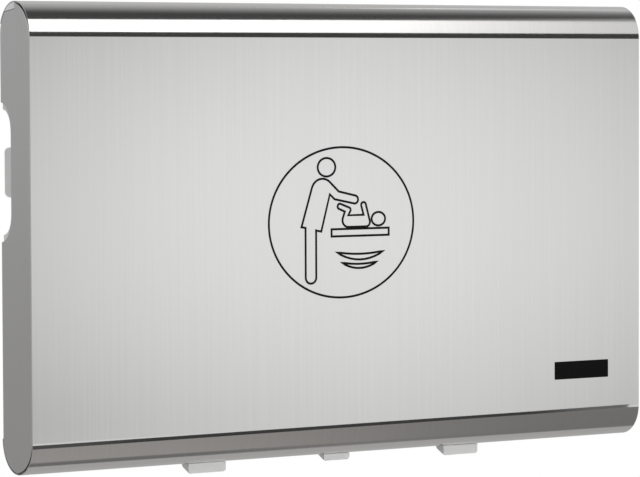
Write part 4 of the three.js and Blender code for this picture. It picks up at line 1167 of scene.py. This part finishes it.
def photo_camera():
    data = bpy.data.cameras.new("photo_camera")
    data.lens = CAMERA_LENS
    data.sensor_width = CAMERA_SENSOR
    camera = bpy.data.objects.new("photo_camera", data)
    ahead = Vector((math.sin(CAMERA_YAW), math.cos(CAMERA_YAW), 0))
    right = Vector((math.cos(CAMERA_YAW), -math.sin(CAMERA_YAW), 0))
    up = Vector((0, 0, 1))
    view = ahead * math.cos(CAMERA_PITCH) - up * math.sin(CAMERA_PITCH)
    top = up * math.cos(CAMERA_PITCH) + ahead * math.sin(CAMERA_PITCH)
    across = right * math.cos(CAMERA_ROLL) + top * math.sin(CAMERA_ROLL)
    over = top * math.cos(CAMERA_ROLL) - right * math.sin(CAMERA_ROLL)
    turn = Matrix((across, over, -view)).transposed()
    camera.matrix_world = Matrix.Translation(CAMERA_PLACE) @ turn.to_4x4()
    bpy.context.scene.collection.objects.link(camera)
    bpy.context.scene.camera = camera


# Turns round the set at which the cards meet, in degrees
LEFT_START = -100
FRONT_START = 14
FLAG_END = 50
FLOOR_END = 99
FRONT_END = 100
RIGHT_END = 130
BACK = 180
LEFT = (LEFT_START, FRONT_START)
REAR_LEFT = (-BACK, LEFT_START)
REAR_RIGHT = (RIGHT_END, BACK)

# Heights at which the cards meet, in degrees over the horizon
POLE = 88
SOFTBOX_TOP = 47.6
FLAG_TOP = 11.8
PANEL_TOP = 4.6
PANEL_FOOT = -7.7
REAR_FOOT = -10
SILL_FOOT = -12.5
LEFT_PANEL_FOOT = -40

photo_camera()
studio_world(0.48)
studio_floor()
studio_card("upper_flag", (FRONT_START, FLAG_END), (PANEL_TOP, FLAG_TOP), 0.045)
studio_card("upper_left_card", LEFT, (PANEL_TOP, FLAG_TOP), 0.45)
studio_card("upper_right_card", (FLAG_END, RIGHT_END), (PANEL_TOP, FLAG_TOP), 0.45)
studio_card("front_panel", (FRONT_START, FRONT_END), (PANEL_FOOT, PANEL_TOP), 0.30, panel_glow, 1.175)
studio_card("front_sill", (FRONT_START, FRONT_END), (SILL_FOOT, PANEL_FOOT),
            0.42, fade("z", -2.65, -2.2), 0.90)
studio_card("left_panel", LEFT, (LEFT_PANEL_FOOT, PANEL_TOP), 0.38, left_glow, 0.9)
foot_strip(0.05, strip_glow, 0.16)
studio_card("softbox", (FRONT_START, RIGHT_END), (FLAG_TOP, SOFTBOX_TOP), 2.0, fade("x", 6.05, 7.15), 0.65)
studio_card("left_softbox", LEFT, (FLAG_TOP, SOFTBOX_TOP), 1.2)
studio_card("softbox_edge", (54, 75), (43.5, 48.7), 0.46, distance=NEAR_CARD_DISTANCE)
studio_card("top_flag", (-BACK, BACK), (SOFTBOX_TOP, POLE), 0.07, fade("y", -2.5, 6.0), 0.50)
studio_card("rear_right_card", REAR_RIGHT, (REAR_FOOT, SOFTBOX_TOP), 0.60)
studio_card("rear_left_card", REAR_LEFT, (REAR_FOOT, SOFTBOX_TOP), 0.38, fade("z", -1.4, 0.5), 0.53)
studio_card("left_floor_card", LEFT, (-POLE, LEFT_PANEL_FOOT), 0.39)
studio_card("front_floor_card", (FRONT_START, FLOOR_END), (-POLE, SILL_FOOT),
            0.39, fade("x", 5.4, 6.9), 0.205, tint=0.03)
studio_card("rear_right_floor_card", (FLOOR_END, BACK), (-POLE, REAR_FOOT), 0.475)
studio_card("rear_left_floor_card", REAR_LEFT, (-POLE, REAR_FOOT), 0.36)
studio_card("floor_gap", (64, 101), (-75, -60), 0.18, distance=NEAR_CARD_DISTANCE)
soft_lamp("key_lamp", (0.9, -4.0, -0.1), (0, 0, -0.1), 2.0, 55)
soft_lamp("top_lamp", (-1.2, -1.6, 3.2), (0, 0, 0), 2.0, 40)
soft_lamp("side_lamp", (-3.5, -1.0, 0.2), (0, 0, 0), 1.5, 8)

cover_skin()
for side in SIDES:
    end_cap(side)
pictogram()
bed_basin()
for level in LEVELS:
    strap(level)
screws()
small_fixings()
hinge_pieces()
buffers()
small_bars()
for family, (finish, width) in EDGES.items():
    for node in NODES:
        if node.startswith(family):
            round_edges(node, finish, width)

bpy.context.scene.view_settings.view_transform = "Standard"
